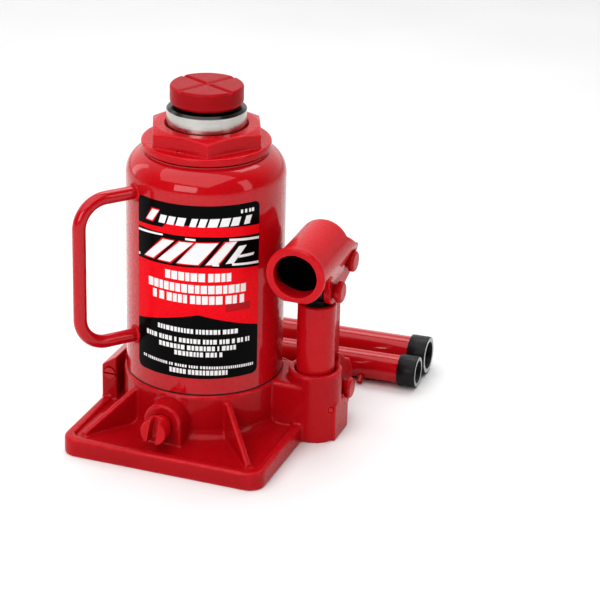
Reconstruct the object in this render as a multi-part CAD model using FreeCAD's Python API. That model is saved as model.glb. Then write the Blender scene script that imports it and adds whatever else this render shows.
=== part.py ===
import FreeCAD
import Part
import math
import os

# Hydraulic bottle jack. Millimetres, +Z up.
# Origin: where the ram axis meets the floor. Front is -Y, the pump is on the +X side.

V = FreeCAD.Vector
UP = V(0, 0, 1)
ALONG_X = V(1, 0, 0)

# ---------------------------------------------------------------- clearances
SLIDE_FIT = 0.06        # radial gap of a sliding fit
PIN_FIT = 0.08          # radial gap of a pin in its hole
SCREW_FIT = 0.07        # radial gap of a plain cylinder that stands for a thread
SEAT_GAP = 0.05         # gap where two machined faces meet
LOOSE = 0.5             # gap between cast parts that swing past each other
BALL_GAP = 0.04         # gap between a valve ball and its seat

# ---------------------------------------------------------------- base casting
BASE_LEFT = -50.1
BASE_RIGHT = 56.2
BASE_FRONT = -67.7
BASE_BACK = 60.0
BASE_RIM_HEIGHT = 9.2
BASE_CORNER = 8.0
BASE_EDGE_ROUND = 1.2
RIM_WIDTH = 4.6
RECESS_DEPTH = 1.6
PEDESTAL_R = 40.9
PEDESTAL_HEIGHT = 30.4
PEDESTAL_FOOT = 5.0
RIB_THICKNESS = 3.2
RIB_TOP = 27.0
RIB_INSET = 4.4

# ---------------------------------------------------------------- tank and its gaskets
TANK_R = 39.7
TANK_WALL = 2.2
TANK_HEIGHT = 115.8
SHOULDER_R = 12.5
TANK_MOUTH_R = 28.6
GASKET_THICKNESS = 0.8
SPIGOT_RISE = 3.6

# ---------------------------------------------------------------- top nut
FLANGE_R = 32.1
FLANGE_THICKNESS = 3.7
HEX_ACROSS_FLATS = 52.6
HEX_HEIGHT = 8.2
HEX_TURN = 23.0
NUT_SKIRT = 8.0
NUT_ROOF = 7.2
NUT_DUST_GAP = 0.9
WIPER_DEPTH = 2.4
WIPER_HEIGHT = 2.8

# ---------------------------------------------------------------- cylinder and ram
CYLINDER_R = 26.0
CYLINDER_BORE_R = 21.0
POCKET_FLOOR = 17.0
RAM_R = 19.74
RAM_STANDS_OUT = 8.8
RAM_CHAMFER = 1.3
RAM_LIFT = 89.9
RAM_FOOT_GAP = 0.8
PISTON_STEM_R = 11.0
PISTON_SEAL_HEIGHT = 7.0
PISTON_WASHER_HEIGHT = 3.0
PISTON_NUT_HEIGHT = 5.0
PISTON_NUT_R = 16.0

# ---------------------------------------------------------------- extension screw and saddle
SCREW_R = 12.93
SCREW_TIP_R = 9.0
SCREW_LIFT = 45.0
RAM_RELIEF_STEP = 1.2
RAM_BORE_FLOOR = 10.0
STOP_RING_HEIGHT = 3.0
STOP_RING_GROOVE = 1.6
SADDLE_R = 18.1
SADDLE_THICKNESS = 9.9
SADDLE_GAP = 1.0
SADDLE_UNDER_ROUND = 2.4
SADDLE_TOP_BEVEL = 0.8
SADDLE_SOCKET_DEPTH = 5.0
SADDLE_GROOVE_WIDTH = 3.2
SADDLE_GROOVE_DEPTH = 1.1
SADDLE_GROOVE_TURN = 63.0

# ---------------------------------------------------------------- pump
PUMP_X = 58.0
PUMP_Y = 5.0
BOSS_R = 13.5
BOSS_HEIGHT = 36.3
BOSS_RECESS_R = 10.4
BOSS_RECESS_DEPTH = 5.0
NECK_HEIGHT = 31.0
BARREL_R = 9.7
BARREL_TOP = 71.8
BARREL_FOOT = 14.0
BARREL_MOUTH_R = 7.7
BARREL_MOUTH_DEPTH = 2.2
BARREL_WASHER_HEIGHT = 1.0
PLUNGER_R = 6.0
PLUNGER_FOOT_GAP = 3.0
PLUNGER_PIN_RISE = 7.2
PLUNGER_EYE_R = 6.5
PLUNGER_GLAND_HEIGHT = 4.0
ORING_R = 0.9

# ---------------------------------------------------------------- handle socket, link and pins
SOCKET_BORE_R = 11.0
SOCKET_BODY_R = 13.3
SOCKET_LIP_R = 15.0
SOCKET_LIP_LENGTH = 3.4
SOCKET_TILT = 2.2
SOCKET_SWING = 45.0       # travel of the handle, in degrees
SOCKET_AXIS_RISE = 20.6
SOCKET_MOUTH = 33.7
SOCKET_BACK = 9.0
SOCKET_BACK_LOW = 26.5
SOCKET_BORE_DEPTH = 37.0
CHEEK_HALF_WIDTH = 9.0
CHEEK_FRONT_LOBE_R = 6.7
CHEEK_BACK_LOBE_R = 9.6
LINK_PIN_BACK = 19.15
LINK_PIN_UP = 8.77
LINK_THICKNESS = 9.4
LINK_WAIST = 8.0
LINK_EYE_R = 7.2
LINK_SLOT_EXTRA = 1.15
LINK_HOLE_SLACK = 0.3
PIN_R = 3.5
PIN_HEAD_R = 5.4
PIN_HEAD_HEIGHT = 3.0
PIN_SLACK = 1.6
CLIP_R = 5.2
CLIP_THICKNESS = 0.9
BASE_PIN_HEIGHT = 18.5
EAR_THICKNESS = 4.0
EAR_TOP = 40.8
EAR_REACH = 13.6

# ---------------------------------------------------------------- release valve
RELEASE_X = -1.6
RELEASE_Z = 18.8
RELEASE_ARCH_R = 10.0
RELEASE_ARCH_FRONT = -52.0
RELEASE_BORE_R = 5.0
RELEASE_NECK_GAP = 3.6
RELEASE_HEAD_R = 6.7
RELEASE_HEAD_LENGTH = 8.0
RELEASE_SLOT_WIDTH = 4.4
RELEASE_SLOT_DEPTH = 5.8
RELEASE_SEAT_Y = -31.5
RELEASE_BALL_R = 2.5

# ---------------------------------------------------------------- relief valve
LUG_LEFT = -50.8
LUG_FRONT = -15.5
LUG_DEPTH = 31.0
LUG_RIGHT = -42.4
LUG_WEB_BACK = 10.5
LUG_LOW_TOP = 26.4
LUG_HIGH_TOP = 32.0
RELIEF_X = -46.2
RELIEF_Z = 22.4
RELIEF_PLUG_R = 3.1
RELIEF_PLUG_LENGTH = 5.0
RELIEF_BORE_LENGTH = 16.0
RELIEF_BALL_R = 2.0

# ---------------------------------------------------------------- ball valves and passages
SEAT_SHARE = 0.7        # radius of a ball's seat as a share of the ball's own radius
PASSAGE_R = 1.6
SUCTION_BALL_R = 3.0
DELIVERY_BALL_R = 3.0
DELIVERY_X = 12.0
DELIVERY_Y = -4.0
DELIVERY_SEAT_Z = 6.0
BALL_TRAVEL = 1.5
VALVE_RETAINER_HEIGHT = 1.8
SPRING_WIRE_SIDES = 8
SPRING_STEPS_PER_TURN = 16
FILTER_R = 3.4
FILTER_HEIGHT = 1.5
GALLERY_Z = 4.0
LOW_PASSAGE_Z = 9.0
PASSAGE_PLUG_R = 1.5
FILLER_R = 4.5
FILLER_DROP = 30.0

# ---------------------------------------------------------------- carry handle
CARRY_ROD_R = 3.35
CARRY_REACH = 70.3
CARRY_HIGH_DROP = 16.8
CARRY_LOW_RISE = 23.3
CARRY_BEND_R = 14.5
CARRY_TURN = 38.4

# ---------------------------------------------------------------- label
LABEL_THICKNESS = 0.25
LABEL_FOOT = 8.5
LABEL_HEIGHT = 91.0
LABEL_LEFT = -33.0
LABEL_RIGHT = 62.5

# ---------------------------------------------------------------- lever sections
SLIM_TUBE_R = 7.5
WIDE_TUBE_R = 8.7
TUBE_WALL = 1.5
SLIM_FERRULE_WALL = 0.8
WIDE_FERRULE_WALL = 1.3
FERRULE_LENGTH = 9.6
SLIM_LENGTH = 158.0
WIDE_LENGTH = 158.0
LEVER_RIGHT_X = 90.6
SLIM_Y = 73.3
SLIM_YAW = 2.1
WIDE_Y = 93.4
WIDE_YAW = 1.2
PEG_R = 1.6
PEG_STANDS_OUT = 3.6
PEG_FROM_END = 29.4
PEG_TURN = 40.0

# ---------------------------------------------------------------- heights and places that follow
TANK_FOOT = PEDESTAL_HEIGHT + GASKET_THICKNESS
TANK_TOP = TANK_FOOT + TANK_HEIGHT
TANK_FLOOR = PEDESTAL_HEIGHT + SPIGOT_RISE
TANK_INNER_R = TANK_R - TANK_WALL
SPIGOT_R = TANK_INNER_R - 0.1
FLANGE_FOOT = TANK_TOP + GASKET_THICKNESS
HEX_FOOT = FLANGE_FOOT + FLANGE_THICKNESS
NUT_TOP = HEX_FOOT + HEX_HEIGHT
NUT_CEILING = NUT_TOP - NUT_ROOF
SKIRT_FOOT = FLANGE_FOOT - NUT_SKIRT
SKIRT_R = TANK_MOUTH_R - 0.4
CYLINDER_FOOT = POCKET_FLOOR + 1.0
CYLINDER_TOP = NUT_CEILING - SEAT_GAP
RAM_TOP = NUT_TOP + RAM_STANDS_OUT
PISTON_TOP = NUT_CEILING - RAM_LIFT - 0.4
RAM_FOOT = CYLINDER_FOOT + RAM_FOOT_GAP
PISTON_FOOT = RAM_FOOT + PISTON_NUT_HEIGHT + PISTON_WASHER_HEIGHT + PISTON_SEAL_HEIGHT
SCREW_BORE_FOOT = PISTON_TOP + RAM_BORE_FLOOR
SCREW_FOOT = SCREW_BORE_FOOT + 4.0
STOP_RING_FOOT = SCREW_FOOT + 2.0
STOP_RING_R = SCREW_R + RAM_RELIEF_STEP - 0.35
THREAD_FOOT = STOP_RING_FOOT + STOP_RING_HEIGHT + SCREW_LIFT + 0.4
SADDLE_FOOT = RAM_TOP + SADDLE_GAP
SADDLE_TOP = SADDLE_FOOT + SADDLE_THICKNESS

NECK_BACK_Y = PUMP_Y + BOSS_R
BARREL_BORE_R = PLUNGER_R + SLIDE_FIT
PLUNGER_PIN_Z = BARREL_TOP + PLUNGER_PIN_RISE
PLUNGER_FOOT = BARREL_FOOT + BARREL_WASHER_HEIGHT + PLUNGER_FOOT_GAP
SLOT_HALF = LINK_THICKNESS / 2 + LOOSE
TILT = math.radians(SOCKET_TILT)
LINK_PIN_Y = PUMP_Y + LINK_PIN_BACK * math.cos(TILT) - LINK_PIN_UP * math.sin(TILT)
LINK_PIN_Z = PLUNGER_PIN_Z + LINK_PIN_BACK * math.sin(TILT) + LINK_PIN_UP * math.cos(TILT)
EAR_OUTER = SLOT_HALF + EAR_THICKNESS
SUCTION_R = (SPIGOT_R + CYLINDER_R) / 2
SUCTION_X = SUCTION_R * math.cos(math.radians(30))
SUCTION_Y = SUCTION_R * math.sin(math.radians(30))
SUCTION_BALL_REST = SUCTION_BALL_R * math.sqrt(1 - SEAT_SHARE ** 2)
SUCTION_SEAT_Z = BARREL_FOOT - 2 * SUCTION_BALL_REST - 2 * BALL_GAP - BALL_TRAVEL


# ---------------------------------------------------------------- shape helpers
def cylinder(radius, low, high, x=0.0, y=0.0):
    return Part.makeCylinder(radius, high - low, V(x, y, low))


def ring(outer, inner, low, high, x=0.0, y=0.0):
    return cylinder(outer, low, high, x, y).cut(cylinder(inner, low - 1, high + 1, x, y))


def rod(radius, start, end):
    run = V(*end) - V(*start)
    return Part.makeCylinder(radius, run.Length, V(*start), run)


def box(x0, x1, y0, y1, z0, z1):
    return Part.makeBox(x1 - x0, y1 - y0, z1 - z0, V(x0, y0, z0))


def turned(outline):
    """Solid of revolution about Z from a closed outline of (radius, height) points."""
    points = [V(radius, 0, height) for radius, height in outline]
    face = Part.Face(Part.makePolygon(points + points[:1]))
    return face.revolve(V(0, 0, 0), UP, 360)


def plate_across_x(outline, x0, x1):
    """Flat plate from a closed outline of (y, z) points, from x0 to x1."""
    points = [V(x0, y, z) for y, z in outline]
    face = Part.Face(Part.makePolygon(points + points[:1]))
    return face.extrude(V(x1 - x0, 0, 0))


def plate_across_y(outline, y0, y1):
    """Flat plate from a closed outline of (x, z) points, from y0 to y1."""
    points = [V(x, y0, z) for x, z in outline]
    face = Part.Face(Part.makePolygon(points + points[:1]))
    return face.extrude(V(0, y1 - y0, 0))


def fuse(shapes):
    whole = shapes[0].multiFuse(shapes[1:])
    return whole.removeSplitter()


def cut(shape, tools):
    return shape.cut(tools)


def level_edges(shape, height):
    """Edges that lie wholly at one height."""
    found = []
    for edge in shape.Edges:
        bounds = edge.BoundBox
        if abs(bounds.ZMin - height) < 1e-4 and abs(bounds.ZMax - height) < 1e-4:
            found.append(edge)
    return found


def upright_edges(shape):
    found = []
    for edge in shape.Edges:
        bounds = edge.BoundBox
        if bounds.XLength < 1e-4 and bounds.YLength < 1e-4:
            found.append(edge)
    return found


def save(name, shape):
    solids = shape.Solids
    if not solids:
        raise ValueError(name + " has no solid")
    kept = solids[0] if len(solids) == 1 else Part.makeCompound(solids)
    kept.exportStep("parts/" + name + ".step")


# ---------------------------------------------------------------- base casting
def base_plate():
    """Rimmed plate with rounded corners and a shallow recess inside the rim."""
    plate = box(BASE_LEFT, BASE_RIGHT, BASE_FRONT, BASE_BACK, 0, BASE_RIM_HEIGHT)
    plate = plate.makeFillet(BASE_CORNER, upright_edges(plate))
    plate = plate.makeFillet(BASE_EDGE_ROUND, level_edges(plate, BASE_RIM_HEIGHT))
    recess = box(
        BASE_LEFT + RIM_WIDTH, BASE_RIGHT - RIM_WIDTH, BASE_FRONT + RIM_WIDTH, BASE_BACK - RIM_WIDTH,
        BASE_RIM_HEIGHT - RECESS_DEPTH, BASE_RIM_HEIGHT + 5,
    )
    recess = recess.makeFillet(BASE_CORNER - RIM_WIDTH / 2, upright_edges(recess))
    return plate.cut(recess)


def pedestal():
    """Round pedestal with a hollow-curved foot, and the spigot that centres the tank."""
    foot = BASE_RIM_HEIGHT - RECESS_DEPTH
    body = cylinder(PEDESTAL_R, 0, PEDESTAL_HEIGHT)
    body = body.makeFillet(1.0, level_edges(body, PEDESTAL_HEIGHT))
    skirt = cylinder(PEDESTAL_R + PEDESTAL_FOOT, foot - 2, foot + PEDESTAL_FOOT)
    hollow = Part.makeTorus(PEDESTAL_R + PEDESTAL_FOOT, PEDESTAL_FOOT, V(0, 0, foot + PEDESTAL_FOOT))
    spigot = cylinder(SPIGOT_R, 0, TANK_FLOOR)
    return fuse([body, skirt.cut(hollow), spigot])


def corner_rib(side_x, side_y):
    """Thin sloping rib from the pedestal out to one corner of the rim."""
    corner_x = BASE_LEFT if side_x < 0 else BASE_RIGHT
    corner_y = BASE_FRONT if side_y < 0 else BASE_BACK
    far = V(corner_x - side_x * (RIM_WIDTH + RIB_INSET), corner_y - side_y * (RIM_WIDTH + RIB_INSET), 0)
    reach = far.Length
    low = BASE_RIM_HEIGHT - RECESS_DEPTH - 2
    outline = [
        (PEDESTAL_R - 6, low), (reach, low), (reach, BASE_RIM_HEIGHT), (PEDESTAL_R, RIB_TOP), (PEDESTAL_R - 6, RIB_TOP),
    ]
    rib = plate_across_y(outline, -RIB_THICKNESS / 2, RIB_THICKNESS / 2)
    rib.rotate(V(0, 0, 0), UP, math.degrees(math.atan2(far.y, far.x)))
    return rib


def pump_boss():
    """Upright boss round the pump barrel, its neck to the pedestal and a flat side pad."""
    boss = cylinder(BOSS_R, 0, BOSS_HEIGHT, PUMP_X, PUMP_Y)
    boss = boss.makeFillet(0.9, level_edges(boss, BOSS_HEIGHT))
    neck = box(SPIGOT_R * 0.6, PUMP_X, PUMP_Y - BOSS_R, NECK_BACK_Y, 0, NECK_HEIGHT)
    neck = neck.makeFillet(2.0, [edge for edge in level_edges(neck, NECK_HEIGHT) if edge.BoundBox.YLength < 1e-4])
    pad_x = PUMP_X + BOSS_R
    pad = plate_across_x(
        [(PUMP_Y - 6.4, 0), (PUMP_Y + 14.2, 0), (PUMP_Y + 14.2, 13.0), (PUMP_Y + 9.0, 18.5), (PUMP_Y - 6.4, 19.6)],
        PUMP_X, pad_x,
    )
    return fuse([boss, neck, pad])


def link_ear(side):
    """One of the two ears that hold the foot of the pump link."""
    y = LINK_PIN_Y
    z = BASE_PIN_HEIGHT
    reach = EAR_REACH
    outline = [
        (PUMP_Y + 5, 0), (y + 0.35 * reach, 0), (y + reach, z - 0.5 * reach), (y + reach, z + 0.4 * reach),
        (y + 0.68 * reach, z + 0.9 * reach), (y + 0.1 * reach, EAR_TOP - 6.3), (y - 0.52 * reach, EAR_TOP),
        (PUMP_Y + BARREL_R + LOOSE, EAR_TOP), (PUMP_Y + BARREL_R + LOOSE, z), (PUMP_Y + 5, z),
    ]
    inner = PUMP_X + side * SLOT_HALF
    outer = PUMP_X + side * EAR_OUTER
    return plate_across_x(outline, min(inner, outer), max(inner, outer))


def relief_lug():
    """Sloping block on the left that holds the relief valve, with a web back to the pedestal."""
    outline = [(LUG_LEFT, 0), (LUG_LEFT, LUG_LOW_TOP), (LUG_RIGHT, LUG_HIGH_TOP), (LUG_RIGHT, 0)]
    block = plate_across_y(outline, LUG_FRONT, LUG_FRONT + LUG_DEPTH)
    web_front = LUG_FRONT + LUG_WEB_BACK
    web_back = LUG_FRONT + LUG_DEPTH - LUG_WEB_BACK
    web = box(LUG_RIGHT - 2, LUG_RIGHT + 6, web_front, web_back, 0, PEDESTAL_HEIGHT - 1)
    return fuse([block, web])


def release_arch():
    """Arched boss at the front that holds the release valve."""
    back = -PEDESTAL_R + 8
    arch = rod(RELEASE_ARCH_R, (RELEASE_X, RELEASE_ARCH_FRONT, RELEASE_Z), (RELEASE_X, back, RELEASE_Z))
    legs = box(RELEASE_X - RELEASE_ARCH_R, RELEASE_X + RELEASE_ARCH_R, RELEASE_ARCH_FRONT, back, 2, RELEASE_Z)
    return fuse([arch, legs])


def pump_cuts():
    """Bores of the pump boss: barrel seat, suction seat, gallery and link slot."""
    seat_r = SUCTION_BALL_R * SEAT_SHARE
    return [
        cylinder(BARREL_R + SCREW_FIT, BARREL_FOOT, BOSS_HEIGHT + 1, PUMP_X, PUMP_Y),
        cylinder(BOSS_RECESS_R, BOSS_HEIGHT - BOSS_RECESS_DEPTH, BOSS_HEIGHT + 1, PUMP_X, PUMP_Y),
        cylinder(SUCTION_BALL_R + 0.5, SUCTION_SEAT_Z, BARREL_FOOT + 0.1, PUMP_X, PUMP_Y),
        cylinder(seat_r, GALLERY_Z, SUCTION_SEAT_Z + 0.1, PUMP_X, PUMP_Y),
        rod(PASSAGE_R, (PUMP_X, PUMP_Y, GALLERY_Z), (SUCTION_X, SUCTION_Y, GALLERY_Z)),
        cylinder(PASSAGE_R, GALLERY_Z, TANK_FLOOR + 1, SUCTION_X, SUCTION_Y),
        cylinder(FILTER_R + SEAT_GAP, TANK_FLOOR - FILTER_HEIGHT, TANK_FLOOR + 1, SUCTION_X, SUCTION_Y),
        box(
            PUMP_X - SLOT_HALF, PUMP_X + SLOT_HALF, LINK_PIN_Y - LINK_EYE_R - LOOSE, LINK_PIN_Y + 40,
            BASE_PIN_HEIGHT - LINK_EYE_R - LOOSE, EAR_TOP + 5,
        ),
        rod(PIN_R + PIN_FIT, (PUMP_X - 20, LINK_PIN_Y, BASE_PIN_HEIGHT), (PUMP_X + 20, LINK_PIN_Y, BASE_PIN_HEIGHT)),
    ]


def delivery_cuts():
    """Delivery valve pocket under the cylinder and its passage from the pump."""
    pocket_r = DELIVERY_BALL_R + 0.5
    seat_r = DELIVERY_BALL_R * SEAT_SHARE
    pump_side = (PUMP_X, PUMP_Y, SUCTION_SEAT_Z + SUCTION_BALL_R)
    return [
        cylinder(pocket_r, DELIVERY_SEAT_Z, POCKET_FLOOR + 0.1, DELIVERY_X, DELIVERY_Y),
        cylinder(seat_r, GALLERY_Z - 1.5, DELIVERY_SEAT_Z + 0.1, DELIVERY_X, DELIVERY_Y),
        rod(PASSAGE_R * 0.8, pump_side, (DELIVERY_X, DELIVERY_Y, GALLERY_Z)),
    ]


def release_cuts():
    """Release valve bore, ball seat, and passages to the cylinder and back to the tank."""
    x = RELEASE_X
    z = RELEASE_Z
    drop_y = RELEASE_SEAT_Y + 1.5
    rise_y = -CYLINDER_BORE_R + 6
    return_y = -(SPIGOT_R + CYLINDER_R) / 2 - 2.6
    return [
        rod(RELEASE_BORE_R + SCREW_FIT, (x, RELEASE_ARCH_FRONT - 5, z), (x, RELEASE_SEAT_Y, z)),
        rod(RELEASE_BALL_R * SEAT_SHARE, (x, RELEASE_SEAT_Y - 0.1, z), (x, drop_y, z)),
        cylinder(PASSAGE_R, LOW_PASSAGE_Z, z, x, drop_y),
        rod(PASSAGE_R, (x, drop_y, LOW_PASSAGE_Z), (x, rise_y, LOW_PASSAGE_Z)),
        cylinder(PASSAGE_R, LOW_PASSAGE_Z, POCKET_FLOOR + 1, x, rise_y),
        cylinder(PASSAGE_R, z, TANK_FLOOR + 1, x, return_y),
    ]


def relief_cuts():
    """Relief valve bore in the lug, and its passages to the cylinder and the tank."""
    x = RELIEF_X
    z = RELIEF_Z
    seat_y = LUG_FRONT + RELIEF_BORE_LENGTH
    drop_y = seat_y + 1.2
    cylinder_x = -CYLINDER_BORE_R + 6
    tank_x = -(SPIGOT_R + CYLINDER_R) / 2
    return_y = seat_y - RELIEF_BALL_R
    return [
        rod(RELIEF_PLUG_R + SCREW_FIT, (x, LUG_FRONT - 1, z), (x, seat_y, z)),
        rod(RELIEF_BALL_R * SEAT_SHARE, (x, seat_y - 0.1, z), (x, drop_y, z)),
        cylinder(RELIEF_BALL_R * SEAT_SHARE, LOW_PASSAGE_Z, z, x, drop_y),
        rod(PASSAGE_R * 0.75, (x, drop_y, LOW_PASSAGE_Z), (cylinder_x, drop_y, LOW_PASSAGE_Z)),
        cylinder(PASSAGE_R * 0.75, LOW_PASSAGE_Z, POCKET_FLOOR + 1, cylinder_x, drop_y),
        rod(PASSAGE_R * 0.75, (x, return_y, z), (tank_x, return_y, z)),
        cylinder(PASSAGE_R * 0.75, z, TANK_FLOOR + 1, tank_x, return_y),
    ]


def passage_plug_place():
    """Start and direction of the small press-in ball that closes a drilling in the pump boss."""
    turn = math.radians(-33)
    outward = V(math.cos(turn), math.sin(turn), 0)
    return V(PUMP_X, PUMP_Y, 17.5) + outward * BOSS_R, outward


def base_casting():
    solid = fuse(
        [base_plate(), pedestal(), pump_boss(), relief_lug(), release_arch()]
        + [corner_rib(side_x, side_y) for side_x in (-1, 1) for side_y in (-1, 1)]
        + [link_ear(side) for side in (-1, 1)]
    )
    tank_room = ring(TANK_R + 0.35, SPIGOT_R, PEDESTAL_HEIGHT, PEDESTAL_HEIGHT + EAR_TOP + LUG_HIGH_TOP)
    pocket = cylinder(CYLINDER_R + SEAT_GAP, POCKET_FLOOR, TANK_FLOOR + 1)
    plug_at, outward = passage_plug_place()
    plug_hole = Part.makeCylinder(PASSAGE_PLUG_R, 4.0, plug_at - outward * 3.2, outward)
    tools = [tank_room, pocket, plug_hole] + pump_cuts() + delivery_cuts() + release_cuts() + relief_cuts()
    return cut(solid, tools)


def passage_plug_ball():
    plug_at, outward = passage_plug_place()
    return Part.makeSphere(PASSAGE_PLUG_R - 0.01, plug_at - outward * 0.5)


# ---------------------------------------------------------------- tank, cylinder and top nut
def reservoir_tank():
    """Drawn tube whose shoulder rolls in to the mouth under the top nut."""
    neck_r = TANK_R - SHOULDER_R
    bend_z = TANK_TOP - SHOULDER_R
    outer = cylinder(TANK_R, TANK_FOOT, TANK_TOP)
    outer = outer.makeFillet(SHOULDER_R, level_edges(outer, TANK_TOP))
    inner = cylinder(TANK_INNER_R, TANK_FOOT - 1, TANK_TOP - TANK_WALL)
    inner = inner.makeFillet(SHOULDER_R - TANK_WALL, level_edges(inner, TANK_TOP - TANK_WALL))
    shell = outer.cut(inner)
    shell = shell.cut(cylinder(TANK_MOUTH_R, bend_z, TANK_TOP + 1))
    seat = cylinder(max(TANK_MOUTH_R + 2.6, neck_r + 4), TANK_TOP - TANK_WALL, TANK_TOP)
    shell = shell.fuse(seat.cut(cylinder(TANK_MOUTH_R, bend_z, TANK_TOP + 1))).removeSplitter()
    filler_z = TANK_TOP - FILLER_DROP
    return shell.cut(rod(FILLER_R, (0, TANK_R - 10, filler_z), (0, TANK_R + 5, filler_z)))


def filler_plug():
    """Rubber plug pushed into the filler hole at the back of the tank."""
    z = TANK_TOP - FILLER_DROP
    stem = rod(FILLER_R - SEAT_GAP, (0, TANK_INNER_R - 2, z), (0, TANK_R + 1.5, z))
    head = rod(FILLER_R + 2.2, (0, TANK_R + 0.25, z), (0, TANK_R + 2.4, z))
    head = head.makeFillet(0.8, [edge for edge in head.Edges if edge.BoundBox.YMin > TANK_R + 2.3])
    barb = rod(FILLER_R + 0.8, (0, TANK_INNER_R - 3.4, z), (0, TANK_INNER_R - 0.9, z))
    return fuse([stem, head, barb])


def hydraulic_cylinder():
    tube = ring(CYLINDER_R, CYLINDER_BORE_R, CYLINDER_FOOT, CYLINDER_TOP)
    return tube.makeChamfer(0.8, level_edges(tube, CYLINDER_TOP)[:1])


def hex_prism(across_flats, low, high):
    """Hexagon prism, one corner on +X before it is turned."""
    corner_r = across_flats / math.sqrt(3)
    corners = []
    for step in range(6):
        turn = math.radians(60 * step)
        corners.append(V(corner_r * math.cos(turn), corner_r * math.sin(turn), low))
    face = Part.Face(Part.makePolygon(corners + corners[:1]))
    return face.extrude(V(0, 0, high - low))


def top_nut():
    """Hexagon nut with a round flange and a threaded skirt that closes the tank."""
    corner_r = HEX_ACROSS_FLATS / math.sqrt(3)
    flats_r = HEX_ACROSS_FLATS / 2
    hexagon = hex_prism(HEX_ACROSS_FLATS, HEX_FOOT - 0.5, NUT_TOP)
    hexagon.rotate(V(0, 0, 0), UP, HEX_TURN - 90)
    chamfer = turned([
        (0, HEX_FOOT - 1), (corner_r + 1, HEX_FOOT - 1), (corner_r + 1, NUT_TOP - 2.2),
        (flats_r - 0.9, NUT_TOP), (0, NUT_TOP),
    ])
    flange = cylinder(FLANGE_R, FLANGE_FOOT, HEX_FOOT)
    flange = flange.makeFillet(0.8, level_edges(flange, HEX_FOOT))
    skirt = cylinder(SKIRT_R, SKIRT_FOOT, HEX_FOOT)
    groove_foot = NUT_CEILING + 1.9
    solid = fuse([hexagon.common(chamfer), flange, skirt])
    return cut(solid, [
        cylinder(CYLINDER_R + SEAT_GAP, SKIRT_FOOT - 1, NUT_CEILING),
        cylinder(RAM_R + PIN_FIT, NUT_CEILING - 1, NUT_TOP + 1),
        cylinder(RAM_R + WIPER_DEPTH, groove_foot, groove_foot + WIPER_HEIGHT),
        cylinder(RAM_R + NUT_DUST_GAP, NUT_TOP - 1.6, NUT_TOP + 1),
    ])


def ram_wiper():
    foot = NUT_CEILING + 1.9
    return ring(RAM_R + WIPER_DEPTH - 0.05, RAM_R + 0.03, foot + 0.05, foot + WIPER_HEIGHT - 0.05)


# ---------------------------------------------------------------- ram, screw and saddle
def ram():
    """Machined ram: guide land and stem at the foot, screw bore at the top."""
    land_r = CYLINDER_BORE_R - SLIDE_FIT
    solid = turned([
        (0, RAM_FOOT), (PISTON_STEM_R, RAM_FOOT), (PISTON_STEM_R, PISTON_FOOT), (land_r, PISTON_FOOT),
        (land_r, PISTON_TOP), (RAM_R, PISTON_TOP), (RAM_R, RAM_TOP - RAM_CHAMFER), (RAM_R - RAM_CHAMFER, RAM_TOP),
        (0, RAM_TOP),
    ])
    return cut(solid, [
        cylinder(SCREW_R + SCREW_FIT, SCREW_BORE_FOOT, RAM_TOP + 1),
        cylinder(SCREW_R + RAM_RELIEF_STEP, SCREW_BORE_FOOT, THREAD_FOOT),
    ])


def piston_cup_seal():
    """U-cup: a ring whose lower face is hollowed so that oil pressure spreads its lips."""
    low = RAM_FOOT + PISTON_NUT_HEIGHT + PISTON_WASHER_HEIGHT
    high = PISTON_FOOT
    outer = CYLINDER_BORE_R - 0.03
    middle = (outer + PISTON_STEM_R) / 2
    cup = ring(outer, PISTON_STEM_R + 0.02, low, high)
    return cup.cut(ring(middle + 2.6, middle - 2.6, low - 1, low + 0.55 * PISTON_SEAL_HEIGHT))


def piston_support_washer():
    low = RAM_FOOT + PISTON_NUT_HEIGHT
    return ring(CYLINDER_BORE_R - 0.5, PISTON_STEM_R + 0.02, low, low + PISTON_WASHER_HEIGHT)


def piston_nut():
    nut = hex_prism(PISTON_NUT_R * math.sqrt(3), RAM_FOOT, RAM_FOOT + PISTON_NUT_HEIGHT)
    return nut.cut(cylinder(PISTON_STEM_R + 0.02, RAM_FOOT - 1, RAM_FOOT + PISTON_NUT_HEIGHT + 1))


def extension_screw():
    """Screw that turns out of the ram, with a groove for its stop ring and a tip for the saddle."""
    tip = SADDLE_FOOT + SADDLE_SOCKET_DEPTH - 0.1
    ring_foot = STOP_RING_FOOT - 0.05
    ring_top = STOP_RING_FOOT + STOP_RING_HEIGHT + 0.05
    groove_r = SCREW_R - STOP_RING_GROOVE
    return turned([
        (0, SCREW_FOOT), (SCREW_R - 1, SCREW_FOOT), (SCREW_R, SCREW_FOOT + 1), (SCREW_R, ring_foot),
        (groove_r, ring_foot), (groove_r, ring_top), (SCREW_R, ring_top), (SCREW_R, SADDLE_FOOT - 0.02),
        (SCREW_TIP_R, SADDLE_FOOT - 0.02), (SCREW_TIP_R, tip), (0, tip),
    ])


def screw_stop_ring():
    """Split ring that stops the screw from leaving the ram."""
    top = STOP_RING_FOOT + STOP_RING_HEIGHT
    whole = ring(STOP_RING_R, SCREW_R - STOP_RING_GROOVE + 0.06, STOP_RING_FOOT, top)
    return whole.cut(box(0, 30, -1.2, 1.2, STOP_RING_FOOT - 1, top + 1))


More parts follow.
